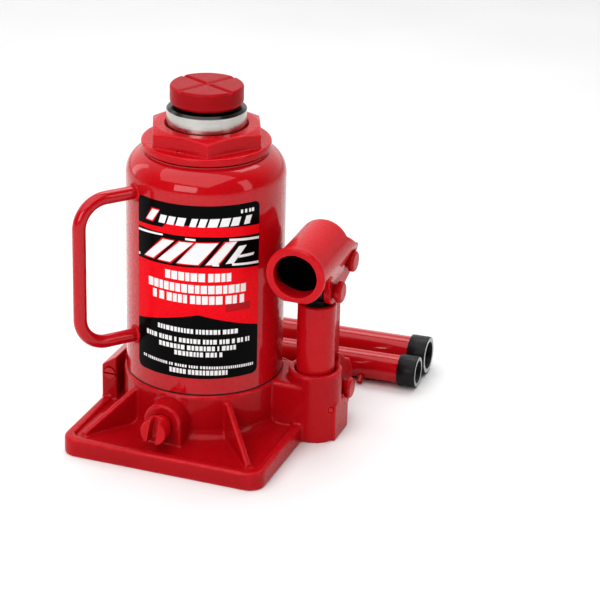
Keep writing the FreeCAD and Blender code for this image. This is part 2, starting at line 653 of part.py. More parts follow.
def saddle():
    """Round load pad with two crossing grooves on its top."""
    body = cylinder(SADDLE_R, SADDLE_FOOT, SADDLE_TOP)
    body = body.makeFillet(SADDLE_UNDER_ROUND, level_edges(body, SADDLE_FOOT))
    body = body.makeChamfer(SADDLE_TOP_BEVEL, level_edges(body, SADDLE_TOP))
    half = SADDLE_GROOVE_WIDTH / 2
    top = SADDLE_TOP
    outline = [(-half, top + 0.01), (0, top - SADDLE_GROOVE_DEPTH), (half, top + 0.01)]
    grooves = []
    for turn in (SADDLE_GROOVE_TURN, SADDLE_GROOVE_TURN + 90):
        groove = plate_across_y(outline, -SADDLE_R - 2, SADDLE_R + 2)
        groove.rotate(V(0, 0, 0), UP, turn - 90)
        grooves.append(groove)
    socket = cylinder(SCREW_TIP_R + 0.02, SADDLE_FOOT - 1, SADDLE_FOOT + SADDLE_SOCKET_DEPTH)
    return cut(body, grooves + [socket])


# ---------------------------------------------------------------- pump
def pump_barrel():
    body = cylinder(BARREL_R, BARREL_FOOT + BARREL_WASHER_HEIGHT, BARREL_TOP, PUMP_X, PUMP_Y)
    body = body.makeFillet(0.7, level_edges(body, BARREL_TOP))
    gland_foot = BARREL_TOP - BARREL_MOUTH_DEPTH - 1.8 - PLUNGER_GLAND_HEIGHT
    return cut(body, [
        cylinder(BARREL_BORE_R, BARREL_FOOT, BARREL_TOP + 1, PUMP_X, PUMP_Y),
        cylinder(BARREL_MOUTH_R, BARREL_TOP - BARREL_MOUTH_DEPTH, BARREL_TOP + 1, PUMP_X, PUMP_Y),
        cylinder(PLUNGER_R + 1.7, gland_foot, gland_foot + PLUNGER_GLAND_HEIGHT, PUMP_X, PUMP_Y),
    ])


def barrel_gland_wiper():
    foot = BARREL_TOP - BARREL_MOUTH_DEPTH - 1.8 - PLUNGER_GLAND_HEIGHT
    return ring(PLUNGER_R + 1.65, PLUNGER_R + 0.04, foot + 0.05, foot + PLUNGER_GLAND_HEIGHT - 0.05, PUMP_X, PUMP_Y)


def barrel_washer():
    """Washer under the barrel; its small notched hole stops the suction ball but lets oil past."""
    top = BARREL_FOOT + BARREL_WASHER_HEIGHT
    whole = ring(BARREL_R, SEAT_SHARE * SUCTION_BALL_R, BARREL_FOOT, top, PUMP_X, PUMP_Y)
    reach = SUCTION_BALL_R + 0.4
    notches = [
        box(PUMP_X - reach, PUMP_X + reach, PUMP_Y - 0.6, PUMP_Y + 0.6, BARREL_FOOT - 1, top + 1),
        box(PUMP_X - 0.6, PUMP_X + 0.6, PUMP_Y - reach, PUMP_Y + reach, BARREL_FOOT - 1, top + 1),
    ]
    return cut(whole, notches)


def cheek_relief():
    """Wedge cut from the back of the plunger's shoulder, where the cheeks come down at full swing."""
    first, second = tangent_points(CHEEK_FRONT_LOBE_R, CHEEK_BACK_LOBE_R, LINK_PIN_BACK, LINK_PIN_UP)
    clear = 1 + LOOSE / CHEEK_FRONT_LOBE_R
    along = math.atan2(second[1] - first[1], second[0] - first[0]) + math.radians(SOCKET_TILT - SOCKET_SWING)
    across = along - math.pi / 2
    y0 = CHEEK_FRONT_LOBE_R * clear * math.cos(across)
    z0 = CHEEK_FRONT_LOBE_R * clear * math.sin(across)
    y1 = y0 + 3 * PLUNGER_R * math.cos(along)
    z1 = z0 + 3 * PLUNGER_R * math.sin(along)
    outline = [(y0, z0), (y1, z1), (y1, 0), (y0, 0)]
    placed = [(PUMP_Y + y, PLUNGER_PIN_Z + z) for y, z in outline]
    return plate_across_x(placed, PUMP_X - 2 * PLUNGER_R, PUMP_X + 2 * PLUNGER_R)


def pump_plunger():
    """Plunger rod with an O-ring groove at its foot and a flat eye at its top."""
    stem_top = BARREL_TOP - 0.9
    groove_z = PLUNGER_FOOT + 4
    stem = cylinder(PLUNGER_R, PLUNGER_FOOT, stem_top, PUMP_X, PUMP_Y)
    stem = stem.makeChamfer(0.6, level_edges(stem, PLUNGER_FOOT))
    groove = ring(PLUNGER_R + 1, PLUNGER_R - 2 * ORING_R, groove_z - ORING_R, groove_z + ORING_R, PUMP_X, PUMP_Y)
    half = LINK_THICKNESS / 2
    stem = cut(stem, [groove, cheek_relief()])
    deep = math.sqrt(PLUNGER_R ** 2 - half ** 2) - 0.05
    tongue = box(PUMP_X - half, PUMP_X + half, PUMP_Y - deep, PUMP_Y + deep, stem_top - 4, PLUNGER_PIN_Z)
    eye = rod(PLUNGER_EYE_R, (PUMP_X - half, PUMP_Y, PLUNGER_PIN_Z), (PUMP_X + half, PUMP_Y, PLUNGER_PIN_Z))
    hole = rod(PIN_R + PIN_FIT, (PUMP_X - 9, PUMP_Y, PLUNGER_PIN_Z), (PUMP_X + 9, PUMP_Y, PLUNGER_PIN_Z))
    return cut(fuse([stem, tongue, eye]), [hole])


def plunger_o_ring():
    tube_r = ORING_R - 0.08
    z = PLUNGER_FOOT + 4
    return Part.makeTorus(PLUNGER_R - tube_r - 0.02, tube_r, V(PUMP_X, PUMP_Y, z))


# ---------------------------------------------------------------- handle socket
def tilted_about_plunger_pin(shape):
    """Moves a shape drawn round the plunger pin to its place, nose slightly down."""
    shape.rotate(V(0, 0, 0), ALONG_X, SOCKET_TILT)
    shape.translate(V(PUMP_X, PUMP_Y, PLUNGER_PIN_Z))
    return shape


def socket_section():
    """Cross-section of the socket casting: round tube above, flat cheeks below."""
    leave = math.radians(-18)
    axis_z = SOCKET_AXIS_RISE
    corner = V(SOCKET_BODY_R * math.cos(leave), 0, axis_z + SOCKET_BODY_R * math.sin(leave))
    mirror = V(-corner.x, 0, corner.z)
    top = V(0, 0, axis_z + SOCKET_BODY_R)
    low = -CHEEK_FRONT_LOBE_R - 2
    knee = axis_z - SOCKET_BODY_R * 1.1
    edges = [
        Part.Arc(corner, top, mirror).toShape(),
        Part.makeLine(mirror, V(-CHEEK_HALF_WIDTH, 0, knee)),
        Part.makeLine(V(-CHEEK_HALF_WIDTH, 0, knee), V(-CHEEK_HALF_WIDTH, 0, low)),
        Part.makeLine(V(-CHEEK_HALF_WIDTH, 0, low), V(CHEEK_HALF_WIDTH, 0, low)),
        Part.makeLine(V(CHEEK_HALF_WIDTH, 0, low), V(CHEEK_HALF_WIDTH, 0, knee)),
        Part.makeLine(V(CHEEK_HALF_WIDTH, 0, knee), corner),
    ]
    return Part.Face(Part.Wire(edges))


def tangent_points(r0, r1, y1, z1):
    """Where the lower common tangent of two pin lobes touches them; the first lobe is at the origin."""
    gap = math.hypot(y1, z1)
    aim = math.atan2(z1, y1)
    lean = math.asin((r1 - r0) / gap)
    turn = aim - math.pi / 2 - lean
    first = (r0 * math.cos(turn), r0 * math.sin(turn))
    second = (y1 + r1 * math.cos(turn), z1 + r1 * math.sin(turn))
    return first, second


def cheek_side(low, high, back):
    """Side outline of the cheeks: a lobe round each pin, running up into the tube."""
    first, second = tangent_points(CHEEK_FRONT_LOBE_R, CHEEK_BACK_LOBE_R, LINK_PIN_BACK, LINK_PIN_UP)
    r0 = CHEEK_FRONT_LOBE_R
    r1 = CHEEK_BACK_LOBE_R
    front = (-r0 * math.cos(0.45), r0 * math.sin(0.45))
    under = (-r0 * math.sin(0.6), -r0 * math.cos(0.6))
    rear_turn = math.radians(80)
    rear = (LINK_PIN_BACK + r1 * math.cos(rear_turn), LINK_PIN_UP + r1 * math.sin(rear_turn))
    rear_mid = (LINK_PIN_BACK + r1, LINK_PIN_UP)

    def point(place):
        return V(low, place[0], place[1])

    roof = SOCKET_AXIS_RISE + SOCKET_BODY_R + 2
    nose = (-SOCKET_BODY_R - 0.6, SOCKET_AXIS_RISE - SOCKET_BODY_R * 0.6)
    edges = [
        Part.Arc(point(front), point(under), point(first)).toShape(),
        Part.makeLine(point(first), point(second)),
        Part.Arc(point(second), point(rear_mid), point(rear)).toShape(),
        Part.makeLine(point(rear), point((back, SOCKET_BACK_LOW))),
        Part.makeLine(point((back, SOCKET_BACK_LOW)), point((back, roof))),
        Part.makeLine(point((back, roof)), point((nose[0], roof))),
        Part.makeLine(point((nose[0], roof)), point(nose)),
        Part.makeLine(point(nose), point(front)),
    ]
    return Part.Face(Part.Wire(edges)).extrude(V(high - low, 0, 0))


def handle_socket():
    """Casting that takes the lever: tube with a lip, and two cheeks for the plunger and link pins."""
    axis_z = SOCKET_AXIS_RISE
    span = 2 * SOCKET_BODY_R
    section = socket_section()
    section.translate(V(0, -SOCKET_MOUTH, 0))
    body = section.extrude(V(0, SOCKET_MOUTH + LINK_PIN_BACK + CHEEK_BACK_LOBE_R + 5, 0))
    cheeks = body.common(cheek_side(-span, span, SOCKET_BACK))
    tube = rod(SOCKET_BODY_R, (0, -SOCKET_MOUTH, axis_z), (0, 2, axis_z))
    lip = rod(SOCKET_LIP_R, (0, -SOCKET_MOUTH, axis_z), (0, -SOCKET_MOUTH + SOCKET_LIP_LENGTH, axis_z))
    lip = lip.makeFillet(1.3, lip.Edges)
    bore = rod(SOCKET_BORE_R, (0, -SOCKET_MOUTH - 1, axis_z), (0, -SOCKET_MOUTH + SOCKET_BORE_DEPTH, axis_z))
    front_top = PLUNGER_EYE_R + LOOSE
    link_front = LINK_PIN_BACK - LINK_EYE_R - LOOSE - LINK_SLOT_EXTRA
    link_top = LINK_PIN_UP + LINK_EYE_R + LOOSE + LINK_SLOT_EXTRA
    slots = [
        box(-SLOT_HALF, SLOT_HALF, -40, link_front + 1, -20, front_top),
        box(-SLOT_HALF, SLOT_HALF, link_front, 60, -20, link_top),
        box(-SLOT_HALF, SLOT_HALF, LINK_PIN_BACK - 2, 60, -20, 60),
    ]
    holes = []
    for y, z in ((0, 0), (LINK_PIN_BACK, LINK_PIN_UP)):
        holes.append(rod(PIN_R + 0.02, (-20, y, z), (20, y, z)))
        for side in (-1, 1):
            face_x = side * CHEEK_HALF_WIDTH
            holes.append(rod(PIN_HEAD_R + 0.9, (face_x, y, z), (face_x + side * 12, y, z)))
    solid = cut(fuse([cheeks, tube, lip]), [bore] + slots + holes)
    return tilted_about_plunger_pin(solid)


def cross_pin(y, z, half_width):
    """Pin along X through two cheeks, with a domed head on the +X side and a clip groove on the other."""
    head_at = PUMP_X + half_width + PIN_SLACK
    groove_at = PUMP_X - half_width - PIN_SLACK
    shank = rod(PIN_R, (groove_at - CLIP_THICKNESS - 1.2, y, z), (head_at + 0.5, y, z))
    head = rod(PIN_HEAD_R, (head_at, y, z), (head_at + PIN_HEAD_HEIGHT, y, z))
    outer_rim = [edge for edge in head.Edges if edge.BoundBox.XMin > head_at + PIN_HEAD_HEIGHT - 0.01]
    head = head.makeFillet(1.4, outer_rim)
    groove = rod(PIN_R + 1, (groove_at - CLIP_THICKNESS, y, z), (groove_at, y, z))
    core = rod(PIN_R - 0.7, (groove_at - CLIP_THICKNESS - 1, y, z), (groove_at + 1, y, z))
    return fuse([shank, head]).cut(groove.cut(core))


def pin_clip(y, z, half_width):
    """Open spring clip in the groove of a cross pin."""
    groove_at = PUMP_X - half_width - PIN_SLACK
    start = groove_at - CLIP_THICKNESS + 0.05
    end = groove_at - 0.05
    clip = rod(CLIP_R, (start, y, z), (end, y, z))
    core = rod(PIN_R - 0.65, (start - 1, y, z), (end + 1, y, z))
    mouth = box(start - 1, end + 1, y - 2.0, y + 2.0, z - CLIP_R - 1, z)
    return cut(clip, [core, mouth])


def pump_link():
    """Flat link between the base ears and the socket; its top hole has room for the socket's arc."""
    half = LINK_THICKNESS / 2
    x0 = PUMP_X - half
    x1 = PUMP_X + half
    low = BASE_PIN_HEIGHT
    high = LINK_PIN_Z
    y = LINK_PIN_Y
    eyes = [rod(LINK_EYE_R, (x0, y, z), (x1, y, z)) for z in (low, high)]
    waist = box(x0, x1, y - LINK_WAIST / 2, y + LINK_WAIST / 2, low, high)
    slot_r = PIN_R + LINK_HOLE_SLACK
    slot = [
        rod(slot_r, (x0 - 1, y - LINK_SLOT_EXTRA, high), (x1 + 1, y - LINK_SLOT_EXTRA, high)),
        rod(slot_r, (x0 - 1, y + LINK_SLOT_EXTRA, high), (x1 + 1, y + LINK_SLOT_EXTRA, high)),
        box(x0 - 1, x1 + 1, y - LINK_SLOT_EXTRA, y + LINK_SLOT_EXTRA, high - slot_r, high + slot_r),
        rod(PIN_R + PIN_FIT, (x0 - 1, y, low), (x1 + 1, y, low)),
    ]
    return cut(fuse(eyes + [waist]), slot)


# ---------------------------------------------------------------- valves
def coil_spring(wire_r, coil_r, turns, height):
    """Coil of eight-sided wire that stands on Z = 0."""
    rise = height - 2 * wire_r
    steps = int(turns * SPRING_STEPS_PER_TURN)
    sections = []
    for step in range(steps + 1):
        share = step / steps
        turn = 2 * math.pi * turns * share
        outward = V(math.cos(turn), math.sin(turn), 0)
        centre = outward * coil_r + UP * (wire_r + rise * share)
        corners = []
        for side in range(SPRING_WIRE_SIDES):
            angle = 2 * math.pi * side / SPRING_WIRE_SIDES
            corners.append(centre + outward * (wire_r * math.cos(angle)) + UP * (wire_r * math.sin(angle)))
        sections.append(Part.makePolygon(corners + corners[:1]))
    return Part.makeLoft(sections, True, True)


def rest_height(ball_r):
    """How far a ball's centre stands off its seat."""
    return ball_r * math.sqrt(1 - SEAT_SHARE ** 2) + BALL_GAP


def suction_ball():
    return Part.makeSphere(SUCTION_BALL_R, V(PUMP_X, PUMP_Y, SUCTION_SEAT_Z + rest_height(SUCTION_BALL_R)))


def suction_filter():
    """Mesh disc over the suction hole in the tank floor."""
    disc = cylinder(FILTER_R, TANK_FLOOR - FILTER_HEIGHT + 0.05, TANK_FLOOR, SUCTION_X, SUCTION_Y)
    holes = []
    for step_x in (-1, 0, 1):
        for step_y in (-1, 0, 1):
            x = SUCTION_X + step_x * 1.3
            y = SUCTION_Y + step_y * 1.3
            holes.append(cylinder(0.4, TANK_FLOOR - FILTER_HEIGHT - 1, TANK_FLOOR + 1, x, y))
    return cut(disc, holes)


def delivery_ball():
    return Part.makeSphere(DELIVERY_BALL_R, V(DELIVERY_X, DELIVERY_Y, DELIVERY_SEAT_Z + rest_height(DELIVERY_BALL_R)))


def delivery_spring():
    foot = DELIVERY_SEAT_Z + rest_height(DELIVERY_BALL_R) + 0.62 * DELIVERY_BALL_R
    top = POCKET_FLOOR - VALVE_RETAINER_HEIGHT
    spring = coil_spring(0.35, 2.75, 4, top - foot)
    spring.translate(V(DELIVERY_X, DELIVERY_Y, foot))
    return spring


def delivery_retainer():
    """Pressed ring that holds the delivery spring down."""
    foot = POCKET_FLOOR - VALVE_RETAINER_HEIGHT
    return ring(DELIVERY_BALL_R + 0.48, 1.3, foot, POCKET_FLOOR, DELIVERY_X, DELIVERY_Y)


def release_ball_y():
    return RELEASE_SEAT_Y - rest_height(RELEASE_BALL_R)


def release_ball():
    return Part.makeSphere(RELEASE_BALL_R, V(RELEASE_X, release_ball_y(), RELEASE_Z))


def release_screw():
    """Release valve screw: pointed bore end, neck, and a slotted head that the lever's end turns."""
    x = RELEASE_X
    z = RELEASE_Z
    tip_y = release_ball_y() - RELEASE_BALL_R - BALL_GAP
    neck_y = RELEASE_ARCH_FRONT - RELEASE_NECK_GAP
    front_y = neck_y - RELEASE_HEAD_LENGTH
    groove_y = RELEASE_ARCH_FRONT + 5
    nose = rod(RELEASE_BORE_R * 0.5, (x, tip_y, z), (x, tip_y - 2, z))
    shank = rod(RELEASE_BORE_R, (x, tip_y - 1.5, z), (x, neck_y, z))
    groove = rod(RELEASE_BORE_R + 1, (x, groove_y, z), (x, groove_y + 2.4, z))
    core = rod(RELEASE_BORE_R - 1.2, (x, groove_y - 1, z), (x, groove_y + 4, z))
    head = rod(RELEASE_HEAD_R, (x, neck_y, z), (x, front_y, z))
    head = head.makeFillet(0.8, head.Edges)
    half = RELEASE_SLOT_WIDTH / 2
    slot = box(x - half, x + half, front_y - 1, front_y + RELEASE_SLOT_DEPTH, z - 20, z + 20)
    slot.rotate(V(x, 0, z), V(0, 1, 0), 10)
    return cut(fuse([nose, shank, head]), [groove.cut(core), slot])


def release_o_ring():
    middle_y = RELEASE_ARCH_FRONT + 5 + 1.2
    tube_r = 0.58
    ring_r = RELEASE_BORE_R - 1.2 + tube_r + 0.01
    return Part.makeTorus(ring_r, tube_r, V(RELEASE_X, middle_y, RELEASE_Z), V(0, 1, 0))


def relief_ball_y():
    return LUG_FRONT + RELIEF_BORE_LENGTH - rest_height(RELIEF_BALL_R)


def relief_ball():
    return Part.makeSphere(RELIEF_BALL_R, V(RELIEF_X, relief_ball_y(), RELIEF_Z))


def relief_plug():
    """Slotted set screw that loads the relief spring; it stands a little proud of the lug."""
    x = RELIEF_X
    z = RELIEF_Z
    front = LUG_FRONT - 0.6
    plug = rod(RELIEF_PLUG_R, (x, front, z), (x, front + RELIEF_PLUG_LENGTH, z))
    return plug.cut(box(x - 5, x + 5, front - 1, front + 1.2, z - 0.5, z + 0.5))


def relief_spring():
    start = LUG_FRONT - 0.6 + RELIEF_PLUG_LENGTH + 0.05
    end = relief_ball_y() - 0.75 * RELIEF_BALL_R
    spring = coil_spring(0.4, 1.9, 5, end - start)
    spring.rotate(V(0, 0, 0), ALONG_X, -90)
    spring.translate(V(RELIEF_X, start, RELIEF_Z))
    return spring


# ---------------------------------------------------------------- carry handle and label
def carry_handle():
    """Bent rod, welded to the tank at both ends."""
    high = TANK_TOP - CARRY_HIGH_DROP
    low = TANK_FOOT + CARRY_LOW_RISE
    root = TANK_R - 3
    out = CARRY_REACH
    bend = CARRY_BEND_R
    side = bend * (1 - math.sqrt(0.5))
    edges = [
        Part.makeLine(V(root, 0, high), V(out - bend, 0, high)),
        Part.Arc(V(out - bend, 0, high), V(out - side, 0, high - side), V(out, 0, high - bend)).toShape(),
        Part.makeLine(V(out, 0, high - bend), V(out, 0, low + bend)),
        Part.Arc(V(out, 0, low + bend), V(out - side, 0, low + side), V(out - bend, 0, low)).toShape(),
        Part.makeLine(V(out - bend, 0, low), V(root, 0, low)),
    ]
    section = Part.Wire(Part.makeCircle(CARRY_ROD_R, V(root, 0, high), ALONG_X))
    bar = Part.Wire(edges).makePipeShell([section], True, True)
    bar = bar.cut(cylinder(TANK_R + 0.01, low - 20, high + 20))
    bar.rotate(V(0, 0, 0), UP, -90 - CARRY_TURN)
    return bar


def tank_label():
    """Thin sticker that wraps part of the tank."""
    foot = TANK_FOOT + LABEL_FOOT
    sector = Part.makeCylinder(TANK_R + LABEL_THICKNESS, LABEL_HEIGHT, V(0, 0, foot), UP, LABEL_RIGHT - LABEL_LEFT)
    sector.rotate(V(0, 0, 0), UP, LABEL_LEFT - 90)
    return sector.cut(cylinder(TANK_R + 0.01, foot - 1, foot + LABEL_HEIGHT + 1))


# ---------------------------------------------------------------- lever sections
def laid_on_floor(shape, tube_r, wall, length, y_at_origin, yaw):
    """Lays a tube drawn along X so that its bare end and its ferrule both touch the floor."""
    to_ferrule = length - FERRULE_LENGTH
    pitch = math.atan2(wall, to_ferrule)
    turn = math.radians(yaw)
    start_x = LEVER_RIGHT_X - length * math.cos(turn)
    start_y = y_at_origin + start_x * math.tan(turn)
    shape.rotate(V(0, 0, 0), V(0, 1, 0), -math.degrees(pitch))
    shape.rotate(V(0, 0, 0), UP, yaw)
    shape.translate(V(start_x, start_y, tube_r / math.cos(pitch)))
    return shape


def lever_tube(tube_r, length):
    return rod(tube_r, (0, 0, 0), (length, 0, 0)).cut(rod(tube_r - TUBE_WALL, (-1, 0, 0), (length + 1, 0, 0)))


def slim_lever_tube():
    """Slimmer lever section, with a hole for its locating peg."""
    tube = lever_tube(SLIM_TUBE_R, SLIM_LENGTH)
    tube = tube.cut(peg_solid(PEG_R + 0.02))
    return laid_on_floor(tube, SLIM_TUBE_R, SLIM_FERRULE_WALL, SLIM_LENGTH, SLIM_Y, SLIM_YAW)


def wide_lever_tube():
    """Wider lever section, with a notched end that turns the release valve."""
    tube = lever_tube(WIDE_TUBE_R, WIDE_LENGTH)
    notch = box(-1, RELEASE_SLOT_DEPTH + 3, -WIDE_TUBE_R - 1, WIDE_TUBE_R + 1, -4.2, 4.2)
    return laid_on_floor(tube.cut(notch), WIDE_TUBE_R, WIDE_FERRULE_WALL, WIDE_LENGTH, WIDE_Y, WIDE_YAW)


def peg_solid(radius):
    """Locating peg drawn at its place on a tube along X."""
    x = SLIM_LENGTH - PEG_FROM_END
    turn = math.radians(PEG_TURN)
    outward = V(0, -math.cos(turn), -math.sin(turn))
    start = V(x, 0, 0) + outward * (SLIM_TUBE_R - TUBE_WALL)
    return Part.makeCylinder(radius, TUBE_WALL + PEG_STANDS_OUT, start, outward)


def lever_peg():
    return laid_on_floor(peg_solid(PEG_R), SLIM_TUBE_R, SLIM_FERRULE_WALL, SLIM_LENGTH, SLIM_Y, SLIM_YAW)


def ferrule(tube_r, wall, length, y_at_origin, yaw):
    """Black ring on the end of a lever section."""
    start = length - FERRULE_LENGTH
    outer = rod(tube_r + wall, (start, 0, 0), (length + 0.4, 0, 0))
    outer = outer.makeFillet(0.35, [edge for edge in outer.Edges if edge.BoundBox.XLength < 1e-4])
    shape = outer.cut(rod(tube_r + 0.01, (start - 1, 0, 0), (length + 2, 0, 0)))
    return laid_on_floor(shape, tube_r, wall, length, y_at_origin, yaw)


# ---------------------------------------------------------------- every node
NODES = {
    "base_casting": base_casting,
    "passage_plug_ball": passage_plug_ball,
    "reservoir_tank": reservoir_tank,
    "tank_bottom_gasket": lambda: ring(TANK_R, SPIGOT_R + 0.02, PEDESTAL_HEIGHT, TANK_FOOT),
    "tank_top_gasket": lambda: ring(FLANGE_R - 1.6, TANK_MOUTH_R, TANK_TOP, FLANGE_FOOT),
    "filler_plug": filler_plug,
    "tank_label": tank_label,
    "carry_handle": carry_handle,
    "hydraulic_cylinder": hydraulic_cylinder,
    "cylinder_gasket": lambda: ring(CYLINDER_R, CYLINDER_BORE_R, POCKET_FLOOR, CYLINDER_FOOT),
    "top_nut": top_nut,
    "ram_wiper": ram_wiper,
    "ram": ram,
    "piston_cup_seal": piston_cup_seal,
    "piston_support_washer": piston_support_washer,
    "piston_nut": piston_nut,
    "screw_stop_ring": screw_stop_ring,
    "extension_screw": extension_screw,
    "saddle": saddle,
    "pump_barrel": pump_barrel,
    "barrel_washer": barrel_washer,
    "barrel_gland_wiper": barrel_gland_wiper,
    "pump_plunger": pump_plunger,
    "plunger_o_ring": plunger_o_ring,
    "handle_socket": handle_socket,
    "plunger_pin": lambda: cross_pin(PUMP_Y, PLUNGER_PIN_Z, CHEEK_HALF_WIDTH),
    "link_top_pin": lambda: cross_pin(LINK_PIN_Y, LINK_PIN_Z, CHEEK_HALF_WIDTH),
    "socket_pin_clips": lambda: Part.makeCompound([
        pin_clip(PUMP_Y, PLUNGER_PIN_Z, CHEEK_HALF_WIDTH),
        pin_clip(LINK_PIN_Y, LINK_PIN_Z, CHEEK_HALF_WIDTH),
    ]),
    "pump_link": pump_link,
    "link_base_pin": lambda: cross_pin(LINK_PIN_Y, BASE_PIN_HEIGHT, EAR_OUTER),
    "base_pin_clip": lambda: pin_clip(LINK_PIN_Y, BASE_PIN_HEIGHT, EAR_OUTER),
    "suction_ball": suction_ball,
    "suction_filter": suction_filter,
    "delivery_ball": delivery_ball,
    "delivery_spring": delivery_spring,
    "delivery_retainer": delivery_retainer,
    "release_screw": release_screw,
    "release_o_ring": release_o_ring,
    "release_ball": release_ball,
    "relief_plug": relief_plug,
    "relief_spring": relief_spring,
    "relief_ball": relief_ball,
    "slim_lever_tube": slim_lever_tube,
    "slim_lever_ferrule": lambda: ferrule(SLIM_TUBE_R, SLIM_FERRULE_WALL, SLIM_LENGTH, SLIM_Y, SLIM_YAW),
    "lever_peg": lever_peg,
    "wide_lever_tube": wide_lever_tube,
    "wide_lever_ferrule": lambda: ferrule(WIDE_TUBE_R, WIDE_FERRULE_WALL, WIDE_LENGTH, WIDE_Y, WIDE_YAW),
}

os.makedirs("parts", exist_ok=True)
for name, make in NODES.items():
    save(name, make())
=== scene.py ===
import math
import random

import bmesh
import bpy
from mathutils import Matrix, Vector, noise


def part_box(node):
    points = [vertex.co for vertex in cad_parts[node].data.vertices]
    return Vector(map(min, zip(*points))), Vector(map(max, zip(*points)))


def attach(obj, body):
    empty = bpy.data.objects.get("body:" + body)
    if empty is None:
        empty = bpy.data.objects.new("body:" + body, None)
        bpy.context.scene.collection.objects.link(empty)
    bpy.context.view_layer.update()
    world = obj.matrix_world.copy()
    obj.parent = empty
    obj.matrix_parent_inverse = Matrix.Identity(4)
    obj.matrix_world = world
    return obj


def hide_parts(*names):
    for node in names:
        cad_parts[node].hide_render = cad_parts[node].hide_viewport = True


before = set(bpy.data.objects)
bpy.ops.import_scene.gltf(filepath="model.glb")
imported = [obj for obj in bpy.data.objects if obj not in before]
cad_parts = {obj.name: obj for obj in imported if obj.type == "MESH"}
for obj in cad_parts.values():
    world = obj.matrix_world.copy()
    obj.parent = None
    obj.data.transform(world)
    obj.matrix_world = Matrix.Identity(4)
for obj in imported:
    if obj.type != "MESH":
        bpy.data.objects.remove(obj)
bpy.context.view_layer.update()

MM = 0.001
FULL_BEND = 0.035 * MM      # bend at a vertex that counts as a whole edge
scene = bpy.context.scene


# ------------------------------------------------------------------ meshes
def link(name, mesh):
    piece = bpy.data.objects.new(name, mesh)
    scene.collection.objects.link(piece)
    return piece


def from_bmesh(name, bm, smooth=True):
    bmesh.ops.recalc_face_normals(bm, faces=bm.faces[:])
    mesh = bpy.data.meshes.new(name)
    bm.to_mesh(mesh)
    bm.free()
    for face in mesh.polygons:
        face.use_smooth = smooth
    return link(name, mesh)


def with_modifiers_applied(piece):
    evaluated = piece.evaluated_get(bpy.context.evaluated_depsgraph_get())
    mesh = bpy.data.meshes.new_from_object(evaluated)
    piece.modifiers.clear()
    piece.data = mesh
    return piece


def mark_edge_highlight(mesh):
    """Stores how convex the surface is at each vertex, 0 to 1, for the painted highlight: a lighter red along
    convex edges.
    """
    count = len(mesh.vertices)
    total = [Vector() for _ in range(count)]
    many = [0] * count
    for edge in mesh.edges:
        a, b = edge.vertices
        total[a] += mesh.vertices[b].co
        total[b] += mesh.vertices[a].co
        many[a] += 1
        many[b] += 1
    layer = mesh.attributes.new("edge", "FLOAT", "POINT")
    for i, vertex in enumerate(mesh.vertices):
        bend = 0.0
        if many[i]:
            bend = (vertex.co - total[i] / many[i]).dot(vertex.normal)
        layer.data[i].value = min(1.0, max(0.0, bend / FULL_BEND))


def soft_copy(node, name, body, voxel, rounds):
    """Cast or forged copy of a machined-looking solid, with soft edges. voxel is in millimetres."""
    piece = link(name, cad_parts[node].data.copy())
    piece.data.materials.clear()
    remesh = piece.modifiers.new("remesh", "REMESH")
    remesh.mode = "VOXEL"
    remesh.voxel_size = voxel * MM
    remesh.use_smooth_shade = True
    smooth = piece.modifiers.new("smooth", "SMOOTH")
    smooth.factor = 0.5
    smooth.iterations = rounds
    with_modifiers_applied(piece)
    for face in piece.data.polygons:
        face.use_smooth = True
    mark_edge_highlight(piece.data)
    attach(piece, body)
    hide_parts(node)
    return piece


